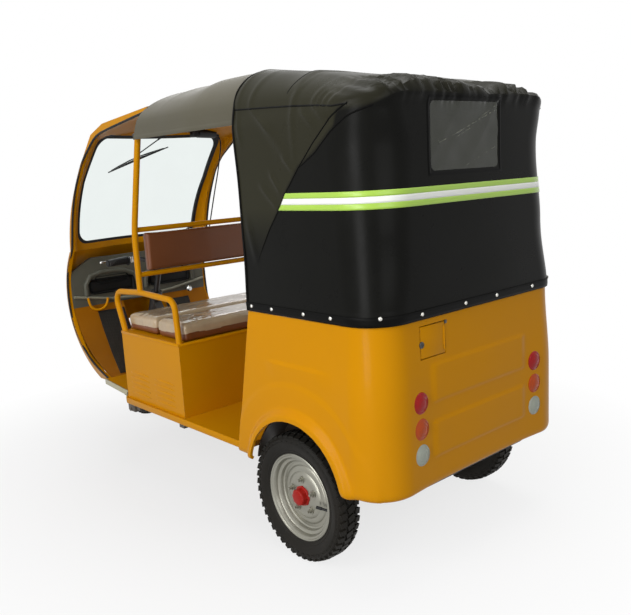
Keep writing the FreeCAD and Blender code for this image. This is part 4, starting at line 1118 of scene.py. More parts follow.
class RICKSHAW_OT_wheels(bpy.types.Operator):
    """Block-tread tyres on pressed steel rims"""
    bl_idname = "rickshaw.wheels"
    bl_label = "Wheels"

    def execute(self, context):
        tyre = finish("tyre_rubber", shade(20, 20, 18), rough=0.58, vary=0.25, patch=14,
                      grain=0.3, grain_size=300, dust=0.05, shine=0.14)
        steel = finish("rim_steel", colours().rim, rough=0.36, metal=0.75, vary=0.12,
                       patch=18, grain=0.2, grain_size=300, dust=0.25)
        for node, body, word, face in (("front_tyre", "front_wheel", "front", 0),
                                       ("rear_left_tyre", "rear_wheel_left", "rear_left", 1),
                                       ("rear_right_tyre", "rear_wheel_right", "rear_right", -1)):
            low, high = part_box(node)
            middle = (low + high) / 2
            self.tyre(word, body, middle, high.x - low.x, (high.z - low.z) / 2, tyre, node)
            self.rim(word, body, middle, face or 1, steel, bool(face))
        return {"FINISHED"}

    def tyre(self, word, body, middle, width, radius, material, node):
        """Carcass, block tread and lugs; one side's outline is mirrored for the other."""
        half = width / 2
        deep = sizes().tread
        r = radius - deep
        bm = bmesh.new()
        right = [(0.160, -0.026), (0.164, -0.033), (0.172, -0.036), (0.178, -0.0405),
                 (0.181, -0.0400), (0.190, -0.0445), (0.203, -half + 0.0004), (0.209, -half),
                 (0.211, -half + 0.0012), (0.220, -half + 0.002), (0.222, -half + 0.0008),
                 (0.225, -half + 0.0030), (r - 0.004, -half + 0.0085), (r, -half + 0.016),
                 (r + 0.0012, -0.014)]
        outline = right + [(a, -b) for a, b in reversed(right)] + [(0.157, 0.0)]
        lathe(bm, outline, middle, (1, 0, 0), steps=96, closed=True)
        count = 46
        tread(bm, middle, radius - 0.0012, width, count, deep)
        lugs(bm, middle, radius, width, count)
        piece(bm, word + "_block_tyre", material, body=body, slot="tyre",
              replaces=(node,), crease=30)

    def rim(self, word, body, middle, face, material, driven):
        """Stepped disc: outline as (radius, place along the axle, outwards positive)."""
        bm = bmesh.new()
        outer = [(0.1655, 0.0350), (0.1630, 0.0375), (0.1590, 0.0368), (0.1565, 0.0335),
                 (0.1500, 0.0315), (0.1465, 0.0260), (0.1440, 0.0170), (0.1405, 0.0140),
                 (0.1335, 0.0125), (0.1310, 0.0080), (0.1290, 0.0010), (0.1240, -0.0020),
                 (0.1130, -0.0010), (0.1090, 0.0030), (0.1000, 0.0052), (0.0900, 0.0050),
                 (0.0870, 0.0075), (0.0800, 0.0115), (0.0700, 0.0130), (0.0520, 0.0130),
                 (0.0480, 0.0150), (0.0300, 0.0150)]
        inner = [(0.0300, 0.0100), (0.0700, 0.0085), (0.0900, 0.0000), (0.1130, -0.0060),
                 (0.1250, -0.0070), (0.1290, -0.0120), (0.1320, -0.0160), (0.1400, -0.0180),
                 (0.1450, -0.0280), (0.1500, -0.0320), (0.1580, -0.0345), (0.1600, -0.0370),
                 (0.1640, -0.0370), (0.1655, -0.0340), (0.1580, -0.0250), (0.1560, 0.0250)]
        lathe(bm, outer + inner, middle, (face, 0, 0), steps=72, closed=True)
        nuts, nut_circle = 5, 0.062
        for k in range(nuts):
            angle = 2 * math.pi * (k + 0.3) / nuts
            spoke = Vector((0, math.cos(angle), math.sin(angle))) * nut_circle
            seat = middle + spoke + Vector((face * 0.0125, 0, 0))
            rod(bm, seat, seat + Vector((face * 0.0040, 0, 0)), 0.0135, 20)
            rod(bm, seat, seat + Vector((face * 0.0125, 0, 0)), 0.0095, 6)
            rod(bm, seat, seat + Vector((face * 0.0200, 0, 0)), 0.0050, 12)
        piece(bm, word + "_steel_rim", material, body=body, slot="steel_rim",
              replaces=(word + "_rim",), crease=32)
        hub = bmesh.new()
        if driven:
            start = 0.0150
            lathe(hub, [(0.040, start), (0.040, start + 0.003), (0.0335, start + 0.005),
                        (0.0325, start + 0.022), (0.0300, start + 0.027), (0.0200, start + 0.030),
                        (0.0, start + 0.031)], middle, (face, 0, 0), steps=8)
            rounded(hub, hub.edges[:], 0.0016, 2)
            look = finish("hub_paint", colours().hub, rough=0.35, vary=0.2, patch=30,
                          grain=0.2, coat=0.05, dust=0.1, shine=0.15)
        else:
            lathe(hub, [(0.036, -0.034), (0.036, 0.034), (0.030, 0.038), (0.018, 0.039),
                        (0.0095, 0.040), (0.0095, -0.040), (0.018, -0.039), (0.030, -0.038)],
                  middle, (face, 0, 0), steps=36, closed=True)
            look = black_steel()
        piece(hub, word + "_hub_cap", look, body=body, slot="steel_rim", crease=30)
        stem = bmesh.new()
        outward = Vector((0, math.cos(-0.15), math.sin(-0.15)))
        foot = middle + Vector((face * 0.010, 0, 0)) + outward * 0.134
        tip = middle + Vector((face * 0.026, 0, 0)) + outward * 0.094
        rod(stem, foot, tip, 0.0048, 12, 0.0040)
        rod(stem, foot.lerp(tip, 0.62), tip.lerp(foot, -0.12), 0.0058, 12)
        piece(stem, word + "_valve", rubber(), body=body, slot="black_rubber")


# ---------------------------------------------------------------------- lamps
class RICKSHAW_OT_tail_lamps(bpy.types.Operator):
    """Round lenses over faceted reflectors, three on each side"""
    bl_idname = "rickshaw.tail_lamps"
    bl_label = "Tail lamps"

    def execute(self, context):
        for word, tint, slot in (("red", shade(176, 3, 8), "red_lens"),
                                 ("amber", shade(196, 76, 2), "amber_lens"),
                                 ("clear", shade(176, 184, 172), "clear_lens")):
            low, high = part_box("tail_lamps_" + word)
            radius = (high.z - low.z) / 2
            z = (low.z + high.z) / 2
            lens = bmesh.new()
            bowl = bmesh.new()
            for sign in SIDES:
                centre = Vector((sign * (high.x - radius), BODY_REAR, z))
                lathe(lens, [(radius, -0.004), (radius, 0.006), (radius - 0.0025, 0.0095),
                             (radius * 0.82, 0.0115), (radius * 0.80, 0.0105),
                             (radius * 0.55, 0.0150), (radius * 0.53, 0.0142),
                             (radius * 0.28, 0.0168), (radius * 0.26, 0.0160),
                             (0.0, 0.0172)], centre, (0, 1, 0), steps=48)
                self.reflector(bowl, centre, radius)
            look = finish("lens_" + word, tint, rough=0.06, vary=0.1, patch=70, grain=0.5,
                          grain_size=90, depth=0.0015, clear=0.22, coat=0.08, spread=0.03,
                          shine=0.10)
            piece(lens, "tail_lens_" + word, look, slot=slot, crease=24,
                  replaces=("tail_lamps_" + word,))
            back = finish(word + "_bowl", [min(1, 0.35 + 0.65 * c) for c in tint], rough=0.18,
                          metal=0.9, vary=0.5, patch=90, grain=0.2)
            piece(bowl, "tail_bowl_" + word, back, slot=slot, crease=5, recalc=False)
        return {"FINISHED"}

    def reflector(self, bm, centre, radius):
        """Rings of small flat mirrors behind a lens."""
        for ring in range(1, 5):
            far = radius * ring / 4.4
            count = 6 * ring
            for k in range(count):
                angle = 2 * math.pi * (k + 0.5 * (ring % 2)) / count
                made = bmesh.ops.create_cone(bm, cap_ends=False, segments=4,
                                             radius1=radius / 6.6, radius2=0,
                                             depth=0.0045)["verts"]
                turned(bm, made, -math.pi / 2, "X")
                spot = Vector((math.cos(angle) * far, 0.0035, math.sin(angle) * far))
                bmesh.ops.translate(bm, verts=made, vec=centre + spot)


class RICKSHAW_OT_flap(bpy.types.Operator):
    """Charging flap with its lock and hinge"""
    bl_idname = "rickshaw.flap"
    bl_label = "Charging flap"

    def execute(self, context):
        bm = bmesh.new()
        low, high = Vector(FLAP[0]), Vector(FLAP[1])
        block(bm, (low.x, BODY_REAR - 0.006, low.z), (high.x, BODY_REAR + 0.0012, high.z),
              0.0012, 2)
        rod(bm, (low.x + 0.004, BODY_REAR + 0.001, low.z + 0.01),
            (low.x + 0.004, BODY_REAR + 0.001, high.z - 0.01), 0.0032, 12)
        piece(bm, "flap_panel", yellow(), body="flap", slot="yellow_paint",
              replaces=("charging_flap",))
        black = finish("lock_black", shade(16, 20, 18), rough=0.25, vary=0.2, coat=0.3)
        lock = bmesh.new()
        spot = Vector((high.x - 0.004, BODY_REAR + 0.0012, (low.z + high.z) / 2 - 0.006))
        lathe(lock, [(0.0115, 0.0), (0.0115, 0.0018), (0.0100, 0.0030), (0.0062, 0.0030),
                     (0.0062, 0.0020), (0.0, 0.0020)], spot, (0, 1, 0), steps=32)
        block(lock, spot + Vector((-0.0010, 0.0015, -0.0045)),
              spot + Vector((0.0010, 0.0026, 0.0045)))
        piece(lock, "flap_lock", black, body="flap", slot="black_metal")
        tab = bmesh.new()
        block(tab, (low.x - 0.010, BODY_REAR - 0.0005, high.z - 0.008),
              (low.x + 0.002, BODY_REAR + 0.0035, high.z + 0.004), 0.001)
        piece(tab, "flap_hinge_leaf", black, slot="black_metal")
        return {"FINISHED"}


# ------------------------------------------------------------------- seat box
class RICKSHAW_OT_seat_box(bpy.types.Operator):
    """Louvres with painted shade in their openings, and folded rim of the steel seat box"""
    bl_idname = "rickshaw.seat_box"
    bl_label = "Seat box"

    def execute(self, context):
        low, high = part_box("seat_box")
        bm = bmesh.new()
        dark = bmesh.new()
        wide = (high.y - low.y) / 2.9
        for sign in SIDES:
            for column in range(2):
                middle = low.y + (high.y - low.y) * (0.27 + 0.43 * column)
                for row in range(5):
                    z = low.z + 0.034 + 0.026 * row
                    made = bmesh.ops.create_uvsphere(bm, u_segments=20, v_segments=12,
                                                     radius=1)["verts"]
                    bmesh.ops.scale(bm, vec=(0.0042, wide / 2, 0.0095), verts=made)
                    bmesh.ops.translate(bm, vec=(sign * high.x, middle, z), verts=made)
                    faces = list({f for v in made for f in v.link_faces})
                    edges = list({e for v in made for e in v.link_edges})
                    bmesh.ops.bisect_plane(bm, geom=made + edges + faces,
                                           plane_co=(0, middle, z - 0.001),
                                           plane_no=(0, 0, -1), clear_outer=True)
                    # A dark strip under each louvre paints the shade in its opening.
                    block(dark, (sign * high.x - 0.0008, middle - wide * 0.42, z - 0.0016),
                          (sign * high.x + 0.0006, middle + wide * 0.42, z + 0.0002))
        piece(bm, "box_louvres", yellow(), slot="yellow_paint", recalc=False)
        piece(dark, "louvre_slit_shades", rubber(), slot="black_rubber")
        rim = bmesh.new()
        base, top = high.z - 0.012, high.z + 0.0012
        for sign in SIDES:
            side_block(rim, sign, (high.x - 0.016, low.y - 0.002, base),
                       (high.x + 0.0030, high.y + 0.002, top), 0.0025)
        for y, inward in ((low.y, 1), (high.y, -1)):
            ys = sorted((y - 0.0030 * inward, y + 0.016 * inward))
            block(rim, (-high.x + 0.005, ys[0], base), (high.x - 0.005, ys[1], top), 0.0025)
        piece(rim, "box_rim", yellow(), slot="yellow_paint")
        self.floor_edge(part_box("floor_pan"), low.y)
        return {"FINISHED"}

    def floor_edge(self, floor, box_front):
        """Folded edge round the floor's plan: at the step a pale half-metal strip that paints the
        highlight on the floor's lit edge, yellow paint behind it.
        """
        low, high = floor
        step = [(high.x - 0.095, low.y + 0.004), (high.x - 0.060, box_front - 0.090),
                (high.x - 0.012, box_front - 0.018)]
        side = [(high.x - 0.004, box_front), (high.x, box_front + 0.020),
                (high.x, BODY_FOOT + 0.010)]
        # The pale strip at the step is a painted highlight of the floor's lit edge.
        for name, plan, look, slot in (
                ("step_edge_highlights", step, finish("step_edge_painted_highlight", shade(176, 170, 140), rough=0.4,
                 metal=0.5, vary=0.2, grain=0.2), "steel_rim"),
                ("floor_edges", side, yellow(), "yellow_paint")):
            strip = bmesh.new()
            for sign in SIDES:
                for (x, y), (xx, yy) in zip(plan, plan[1:]):
                    run = Vector((xx - x, yy - y, 0))
                    made = block(strip, (-run.length / 2, -0.0040, low.z + 0.001),
                                 (run.length / 2, 0.0030, high.z + 0.0025), 0.0022)
                    turned(strip, made, math.atan2(run.y, sign * run.x), "Z")
                    bmesh.ops.translate(strip, verts=made,
                                        vec=(sign * (x + xx) / 2, (y + yy) / 2, 0))
            piece(strip, name, look, slot=slot)
        foot = bmesh.new()
        for sign in SIDES:
            side_block(foot, sign, (0.440, box_front - 0.030, low.z - 0.050),
                       (0.470, box_front + 0.040, low.z - 0.001), 0.006, 3)
            rod(foot, (sign * 0.437, box_front - 0.004, low.z - 0.040),
                (sign * 0.473, box_front - 0.004, low.z - 0.040), 0.009, 16)
        piece(foot, "step_brackets", black_steel(), slot="black_metal")
        low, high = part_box("rear_bumper")
        bar = bmesh.new()
        thick, y = (high.y - low.y) / 2, (low.y + high.y) / 2
        bend, z = high.x - 0.085, high.z - thick
        rod(bar, (-bend, y - 0.004, z), (bend, y - 0.004, z), thick * 0.92, 24)
        for sign in SIDES:
            rod(bar, (sign * bend, y - 0.004, z),
                (sign * (high.x - 0.035), y - 0.006, z + thick * 0.25), thick * 0.92, 24,
                thick * 0.55)
        piece(bar, "bumper_bar", rubber(), slot="black_metal", replaces=("rear_bumper",))


# ------------------------------------------------------------------------ cab
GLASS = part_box("windscreen_glass")


def struck(node, start, way):
    """Where a straight line from start first meets a CAD node, or None."""
    hit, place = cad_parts[node].ray_cast(Vector(start), Vector(way))[:2]
    return place if hit else None


def screen_place(across, height, out=0.0):
    """A point in front of the windscreen's outer face."""
    place = struck("windscreen_glass", (across, -2, min(height, GLASS[1].z - 0.004)), (0, 1, 0))
    y = place.y if place else GLASS[1].y
    return Vector((across, y - out, height))


DOOR_EDGE = (  # along, height: the edge of the cab's side opening, from the floor to the roof
    (-0.815, 0.352), (-0.852, 0.392), (-0.905, 0.448), (-0.962, 0.522), (-1.012, 0.620),
    (-1.034, 0.700), (-1.043, 0.780), (-1.043, 0.860), (-1.036, 0.930), (-1.004, 1.006),
    (-0.968, 1.061), (-0.946, 1.135), (-0.924, 1.215), (-0.892, 1.300), (-0.845, 1.390),
    (-0.780, 1.486), (-0.720, 1.540), (-0.640, 1.590), (-0.540, 1.652), (-0.400, 1.672),
    (-0.250, 1.690), (-0.100, 1.708), (-0.030, 1.716))


class RICKSHAW_OT_cab(bpy.types.Operator):
    """Wiper, driver's controls, fairing and door trims of the cab"""
    bl_idname = "rickshaw.cab"
    bl_label = "Cab"

    def execute(self, context):
        self.trims()
        self.wiper()
        self.fairing()
        self.controls()
        self.headlamps()
        return {"FINISHED"}

    def trims(self):
        """Rubber edge round each side opening, on the outer face of the panels it grips."""
        line = []
        for along, height in DOOR_EDGE:
            for ahead in (0.004, 0.010, 0.018, 0.030):
                spots = [struck(node, (1, along - ahead, height + ahead * 0.35), (-1, 0, 0))
                         for node in ("nose_cowl", "windscreen_frame", "roof_cap")]
                spots = [spot for spot in spots if spot and spot.x > 0.30]
                if spots:
                    line.append(Vector((max(spot.x for spot in spots) - 0.001, along, height)))
                    break
        for word, sign in (("left", 1), ("right", -1)):
            sweep("door_trim_" + word, [Vector((sign * p.x, p.y, p.z)) for p in line], 0.0055,
                  rubber(), slot="black_rubber", sides=3)

    def wiper(self):
        """Motor inside the header, its arm and blade outside, and the lead down the pillar."""
        black = finish("wiper_black", shade(18, 18, 19), rough=0.4, vary=0.25, grain=0.2,
                       shine=0.3)
        top = GLASS[1].y
        axle = top + 0.045
        bm = bmesh.new()
        rod(bm, (-0.205, axle, 1.664), (-0.315, axle, 1.660), 0.027, 28)
        rod(bm, (-0.200, axle, 1.664), (-0.320, axle, 1.660), 0.017, 28)
        block(bm, (-0.222, top + 0.020, 1.640), (-0.168, top + 0.066, 1.692), 0.008, 3)
        block(bm, (-0.180, top + 0.028, 1.668), (-0.060, top + 0.044, 1.686), 0.004)
        rod(bm, (-0.082, top + 0.044, 1.677), (-0.082, top - 0.052, 1.677), 0.008, 20)
        piece(bm, "wiper_motor", black, slot="dark_plastic")
        hinge = Vector((-0.082, top - 0.050, 1.677))
        tip = screen_place(0.052, 1.566, 0.020)
        arm = bmesh.new()
        rod(arm, hinge - Vector((0, 0.006, 0)), hinge + Vector((0, 0.012, 0)), 0.013, 20)
        rod(arm, hinge, hinge.lerp(tip, 0.35), 0.0052, 12, 0.0042)
        rod(arm, hinge.lerp(tip, 0.35), tip, 0.0034, 12, 0.0030)
        piece(arm, "wiper_arm", black, slot="black_metal")
        low_end, high_end = Vector((0.222, 1.476)), Vector((-0.112, 1.599))

        def along(t):
            return low_end.lerp(high_end, t)
        blade = bmesh.new()
        for k in range(16):
            a, b = along(k / 16), along((k + 1.04) / 16)
            thick = 0.0030 + 0.0034 * math.sin(math.pi * (k + 0.5) / 16)
            rod(blade, screen_place(*a, 0.008), screen_place(*b, 0.008), thick, 10)
        carrier = [screen_place(*along(t), 0.010 + 0.012 * math.sin(math.pi * t))
                   + Vector((0, 0, 0.010 * math.sin(math.pi * t)))
                   for t in (0.06, 0.2, 0.4, 0.55, 0.7, 0.94)]
        chain(blade, carrier, 0.0032, 10)
        piece(blade, "wiper_blade", rubber(), slot="black_rubber")
        inside = [Vector((-0.318, axle, 1.660)), Vector((-0.352, top + 0.040, 1.640)),
                  Vector((-0.372, top + 0.024, 1.600)), Vector((-0.386, top - 0.020, 1.530)),
                  Vector((-0.396, top - 0.062, 1.450)), Vector((-0.402, top - 0.120, 1.340)),
                  Vector((-0.404, top - 0.180, 1.200)), Vector((-0.402, top - 0.235, 1.060))]
        sweep("wiper_lead", inside, 0.0036, rubber(), slot="black_rubber", sides=3)

    def fairing(self):
        """Dark plates that paint the shade in the inner fairing's pockets, their arches, its lower
        lip, the loop and the knob.
        """
        low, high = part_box("inner_fairing")
        grey = finish("fairing_grey", shade(84, 84, 74), rough=0.5, vary=0.15, patch=6,
                      grain=0.3, grain_size=500, shine=0.3)
        dress(grey, "inner_fairing")
        dark = finish("pocket_painted_shade", shade(12, 12, 11), rough=0.6, vary=0.2, grain=0.3,
                      shine=0.2)
        face = high.y
        # Dark plates on the fairing's face paint the shade inside its pockets.
        pocket_shades, arches = bmesh.new(), bmesh.new()
        for sign in SIDES:
            side_block(pocket_shades, sign, (0.050, face - 0.008, low.z + 0.062),
                       (0.325, face + 0.0008, low.z + 0.144), 0.020, 4)
            side_block(pocket_shades, sign, (0.085, face - 0.008, low.z + 0.120),
                       (0.290, face + 0.0012, low.z + 0.160), 0.018, 4)
        piece(pocket_shades, "fairing_pocket_shades", dark, slot="dark_plastic")
        for sign in SIDES:
            path = [Vector((sign * x, face + 0.001, low.z + z)) for x, z in
                    ((0.350, 0.060), (0.348, 0.120), (0.318, 0.166), (0.250, 0.182),
                     (0.180, 0.184), (0.105, 0.176), (0.046, 0.150), (0.028, 0.100),
                     (0.026, 0.060))]
            chain(arches, path, 0.013, 16)
            for place in path[1:]:
                ball(arches, place, 0.013)
        piece(arches, "pocket_arches", grey, slot="grey_plastic")
        pale = finish("lip_grey", shade(128, 128, 112), rough=0.4, vary=0.12, grain=0.2)
        lip = bmesh.new()
        edge = [(-0.425, 0.062), (-0.20, 0.024), (0.0, 0.012), (0.20, 0.024), (0.425, 0.062)]
        chain(lip, [Vector((x, face + 0.006, low.z + z)) for x, z in edge], 0.008, 16)
        piece(lip, "fairing_lip", pale, slot="grey_plastic")
        ring = [Vector((x, face + 0.030, low.z + z)) for x, z in
                ((0.356, 0.050), (0.352, 0.010), (0.330, -0.018), (0.298, -0.026),
                 (0.264, -0.018), (0.242, 0.008), (0.238, 0.036))]
        sweep("fairing_loop", ring, 0.0068, yellow(), slot="yellow_paint", sides=5)
        knob = bmesh.new()
        lathe(knob, [(0.008, 0.0), (0.008, 0.030), (0.016, 0.036), (0.0185, 0.046),
                     (0.012, 0.056), (0.0, 0.058)], Vector((-0.300, face - 0.004, low.z + 0.010)),
              (0, 1, 0), steps=28)
        piece(knob, "fairing_knob", bright_steel(), slot="steel_rim")
        self.treads()

    def treads(self):
        """Ribbed rubber pads on the sloping toe board, one on each side of the wheel's arch."""
        mat = finish("tread_black", shade(26, 25, 22), rough=0.6, vary=0.25, grain=0.4,
                     grain_size=200, dust=0.2, shine=0.25)
        low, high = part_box("toe_board")

        def lining(x, z):
            place = struck("toe_board", (x, 0, z), (0, -1, 0))
            return place.y if place else high.y
        for word, sign in (("left", 1), ("right", -1)):
            def pad(u, v):
                z = low.z + 0.030 + (high.z - low.z - 0.065) * v
                x = sign * (0.138 + 0.162 * u)
                ribs = 0.0014 * (1 if int(u * 27) % 2 and 0.04 < v < 0.96 else 0)
                return Vector((x, lining(x, z) + 0.004 + ribs, z))
            obj = piece(sheet_of(54, 40, pad, heart=(0, -1.6, 0.2)), "toe_tread_" + word, mat,
                        slot="black_rubber", recalc=False)
            thicken(obj, 0.003)

    def controls(self):
        """Grips, hand levers and the dial, which ride on the steering body."""
        low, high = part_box("handlebar")
        middle = (low + high) / 2
        grips = bmesh.new()
        levers = bmesh.new()
        for sign in SIDES:
            end = Vector((sign * high.x, high.y - 0.022, middle.z + 0.003))
            start = end + Vector((-sign * 0.118, -0.004, 0))
            for k in range(11):
                t = k / 11
                rod(grips, start.lerp(end, t), start.lerp(end, t + 0.07), 0.0178, 20)
            rod(grips, start, end, 0.0160, 20)
            rod(grips, start - Vector((sign * 0.004, 0, 0)), start, 0.024, 24)
            pivot = start + Vector((-sign * 0.022, -0.016, 0.004))
            knee = pivot + Vector((sign * 0.060, -0.030, 0.002))
            rod(levers, pivot, knee, 0.0060, 12, 0.0050)
            rod(levers, knee, pivot + Vector((sign * 0.150, -0.026, 0.0)), 0.0050, 12, 0.0042)
            ball(levers, pivot + Vector((sign * 0.152, -0.026, 0)), 0.0075)
            pin = Vector((0, 0, 0.014))
            clamp = pivot + Vector((0, 0.016, 0))
            rod(levers, clamp - pin, clamp + pin, 0.013, 18)
        piece(grips, "grips", rubber(), body="steering", slot="black_rubber")
        piece(levers, "levers", bright_steel(), body="steering", slot="steel_rim")
        low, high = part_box("instrument_housing")
        case = bmesh.new()
        block(case, low, high, 0.016, 4)
        piece(case, "dial_case", finish("case_black", shade(26, 26, 27), rough=0.45, vary=0.2,
              grain=0.4, grain_size=600), body="steering", slot="dark_plastic",
              replaces=("instrument_housing",))
        face = bmesh.new()
        block(face, (low.x + 0.014, high.y - 0.001, low.z + 0.030),
              (high.x - 0.014, high.y + 0.0012, high.z - 0.016), 0.004, 2)
        piece(face, "dial_face", finish("dial_glass", shade(60, 66, 62), rough=0.1, vary=0.3,
              patch=30, coat=0.6), body="steering", slot="clear_glass")

    def headlamps(self):
        """Glass of the two round headlamps and their bright rings."""
        low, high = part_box("headlamps")
        dress(finish("headlamp_lens", shade(214, 220, 222), rough=0.08, vary=0.12, patch=60,
                     grain=0.6, grain_size=120, depth=0.002, clear=0.35, coat=0.5), "headlamps")
        bm = bmesh.new()
        radius = (high.z - low.z) / 2
        z = (low.z + high.z) / 2
        for sign in SIDES:
            centre = Vector((sign * (high.x - radius), high.y - 0.030, z))
            lathe(bm, [(radius - 0.003, 0.0), (radius + 0.009, 0.0), (radius + 0.010, 0.012),
                       (radius + 0.004, 0.026), (radius - 0.002, 0.030), (radius - 0.006, 0.024)],
                  centre, (0, -1, 0), steps=56, closed=True)
        piece(bm, "headlamp_rings", bright_steel(), slot="steel_rim")


# -------------------------------------------------------------------- chassis
class RICKSHAW_OT_finishes(bpy.types.Operator):
    """Finishes of the steel, glass and rubber pieces that come from the frame"""
    bl_idname = "rickshaw.finishes"
    bl_label = "Finishes"

    def execute(self, context):
        paint = yellow()
        # The toe board takes a darker yellow than the body, a painted shade of the cab's shaded
        # inside, with dust on it.
        dress(finish("toe_board_painted_shade", shade(150, 92, 4), rough=0.45, vary=0.2, patch=5, grain=0.2,
                     dust=0.3, shine=0.1, wear=shade(96, 70, 40)), "toe_board")
        dress(paint, "floor_pan", "rear_floor", "rear_bench_base", "seat_box", "handrails",
              "b_posts", "backrest_rails", "nose_cowl", "roof_cap", "windscreen_frame",
              "charging_flap", "quarter_panels", "rear_panel")
        steel = black_steel()
        dress(steel, "chassis_frame", "roof_frame", "rear_axle", "leaf_springs",
              "fork", "handlebar", "front_mudguard", "wheel_housings", "brake_pedal")
        dress(finish("motor_casing", shade(96, 98, 100), rough=0.5, metal=0.6, vary=0.2,
                     grain=0.3, grain_size=200, dust=0.5), "drive_motor")
        dress(finish("battery_case", shade(28, 30, 34), rough=0.55, vary=0.2, grain=0.3),
              "battery_pack")
        dress(rubber(), "windscreen_seal")
        glass = finish("screen_glass", shade(236, 242, 240), rough=0.03, vary=0.02, grain=0.02,
                       clear=1.0, spread=0.01)
        glass.node_tree.nodes["Principled BSDF"].inputs["IOR"].default_value = 1.1
        dress(glass, "windscreen_glass")
        return {"FINISHED"}


# ---------------------------------------------------------------------- stage
WHITE = (1, 1, 1, 1)
FLOOR_RADIUS = 14
SENSOR, LENS = 36.0, 42.33  # millimetres
CAMERA_TURN, CAMERA_RISE, CAMERA_ROLL = 138.58, 10.42, -3.30  # degrees
CAMERA_PLACE = (2.131, 2.931, 1.421)
LAMPS = (  # name, place, aim, width, power, height where it isn't the width
    ("key", (4.4, 1.0, 3.4), (0, 0.5, 0.8), 2.6, 122, None),
    ("top", (-0.6, 0.8, 5.2), (0, 0.4, 0.9), 3.0, 120, None),
    ("behind", (1.3, 5.2, 2.4), (0, 0.9, 1.0), 2.6, 46, None),
    ("strip", (5.0, 2.6, 1.0), (0.4, 1.2, 1.1), 1.5, 84, 2.6),
    ("nose", (-3.0, -5.0, 3.4), (0, -0.8, 0.9), 2.0, 24, None),
)


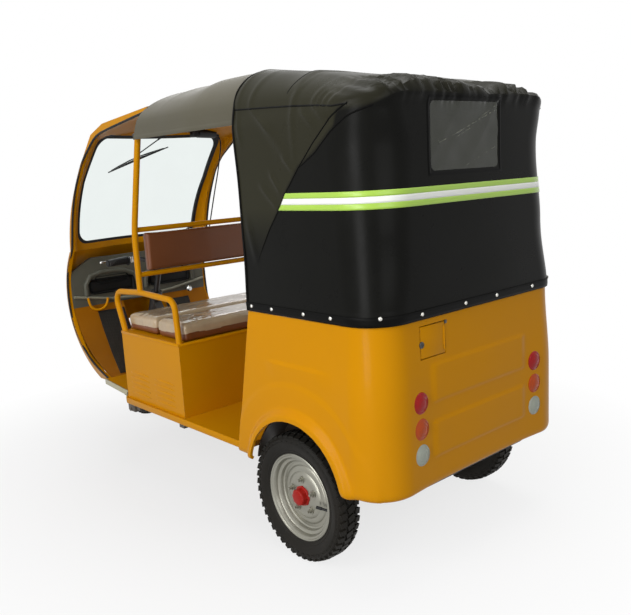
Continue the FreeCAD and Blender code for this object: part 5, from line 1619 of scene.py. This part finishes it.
class RICKSHAW_OT_stage(bpy.types.Operator):
    """Pale floor, soft lights and the camera"""
    bl_idname = "rickshaw.stage"
    bl_label = "Stage"

    def execute(self, context):
        scene = context.scene
        scene.view_settings.view_transform = "Standard"
        bm = bmesh.new()
        bmesh.ops.create_circle(bm, cap_ends=True, segments=96, radius=FLOOR_RADIUS)
        floor = shown("studio_floor", mesh_of(bm, "studio_floor"))
        floor.data.materials.append(self.floor_look())
        self.world(scene)
        for row in LAMPS:
            self.lamp(*row)
        self.camera(scene)
        return {"FINISHED"}

    def seen_white(self, tree):
        """1 for the rays that show the background: to the eye, off metal and through glass."""
        ray = tree.add("LightPath")
        straight = tree.maths("MAXIMUM", ray["Is Camera Ray"], ray["Is Glossy Ray"])
        return tree.maths("MAXIMUM", straight, ray["Is Transmission Ray"])

    def floor_look(self):
        """Grey under the object, so that its shadow shows, and white further out."""
        made = bpy.data.materials.new("studio_floor")
        tree = Shading(made)
        tree.nodes.clear()
        seen = self.seen_white(tree)
        lit = tree.add("BsdfDiffuse", {"Color": tree.ramp(seen, 0.0, 1.0, 0.34, 0.66)})[0]
        white = tree.add("Emission", {"Color": WHITE})[0]
        where = tree.add("TexCoord")["Object"]
        far = tree.add("VectorMath", {0: where}, operation="LENGTH")["Value"]
        amount = tree.maths("MULTIPLY", seen, tree.ramp(far, 0.7, 2.2, 0.72, 1.0))
        mix = tree.add("MixShader", {0: amount, 1: lit, 2: white})[0]
        tree.add("OutputMaterial", {"Surface": mix})
        return made

    def world(self, scene):
        """Soft light all round, seen as white."""
        world = scene.world = bpy.data.worlds.new("studio")
        tree = Shading(world)
        tree.nodes.clear()
        soft = tree.add("Background", {"Color": WHITE, "Strength": 0.26})[0]
        white = tree.add("Background", {"Color": WHITE})[0]
        mix = tree.add("MixShader", {0: self.seen_white(tree), 1: soft, 2: white})[0]
        tree.add("OutputWorld", {"Surface": mix})

    def lamp(self, name, place, aim, size, power, tall):
        data = bpy.data.lights.new(name, "AREA")
        data.size, data.energy = size, power
        if tall:
            data.shape, data.size_y = "RECTANGLE", tall
        lamp = shown(name, data)
        lamp.location = place
        lamp.rotation_mode = "QUATERNION"
        lamp.rotation_quaternion = (Vector(aim) - Vector(place)).to_track_quat("-Z", "Y")

    def camera(self, scene):
        data = bpy.data.cameras.new("view")
        data.sensor_width, data.lens = SENSOR, LENS
        camera = shown("view", data)
        turn, rise, roll = (math.radians(angle) for angle in
                            (CAMERA_TURN, CAMERA_RISE, CAMERA_ROLL))
        back = Vector((math.sin(turn) * math.cos(rise), -math.cos(turn) * math.cos(rise),
                       math.sin(rise)))
        right = Vector((math.cos(turn), math.sin(turn), 0))
        up = back.cross(right)
        across = right * math.cos(roll) + up * math.sin(roll)
        over = up * math.cos(roll) - right * math.sin(roll)
        axes = Matrix((across, over, back)).transposed()
        camera.matrix_world = Matrix.Translation(CAMERA_PLACE) @ axes.to_4x4()
        scene.camera = camera


STEPS = ("stage", "body", "flap", "hood", "roof_cover", "tail_lamps", "seat_box", "wheels",
         "cab", "finishes", "seats")


class RICKSHAW_PT_panel(bpy.types.Panel):
    """Lists the rickshaw's pieces, sizes and colours"""
    bl_label = "Auto Rickshaw"
    bl_idname = "RICKSHAW_PT_panel"
    bl_space_type = "VIEW_3D"
    bl_region_type = "UI"
    bl_category = "Rickshaw"

    def draw(self, context):
        for group, kind in ((context.scene.rickshaw_sizes, RickshawSizes),
                            (context.scene.rickshaw_colours, RickshawColours)):
            for name in kind.__annotations__:
                self.layout.prop(group, name)
        for step in STEPS:
            self.layout.operator("rickshaw." + step)


CLASSES = (RickshawSizes, RickshawColours, RICKSHAW_OT_body, RICKSHAW_OT_hood,
           RICKSHAW_OT_roof_cover, RICKSHAW_OT_seats, RICKSHAW_OT_wheels,
           RICKSHAW_OT_tail_lamps, RICKSHAW_OT_flap, RICKSHAW_OT_seat_box, RICKSHAW_OT_cab,
           RICKSHAW_OT_finishes, RICKSHAW_OT_stage, RICKSHAW_PT_panel)


def register():
    for kind in CLASSES:
        bpy.utils.register_class(kind)
    bpy.types.Scene.rickshaw_sizes = bpy.props.PointerProperty(type=RickshawSizes)
    bpy.types.Scene.rickshaw_colours = bpy.props.PointerProperty(type=RickshawColours)


def unregister():
    del bpy.types.Scene.rickshaw_sizes
    del bpy.types.Scene.rickshaw_colours
    for kind in reversed(CLASSES):
        bpy.utils.unregister_class(kind)


def main():
    register()
    for step in STEPS:
        getattr(bpy.ops.rickshaw, step)()


if __name__ == "__main__":
    main()
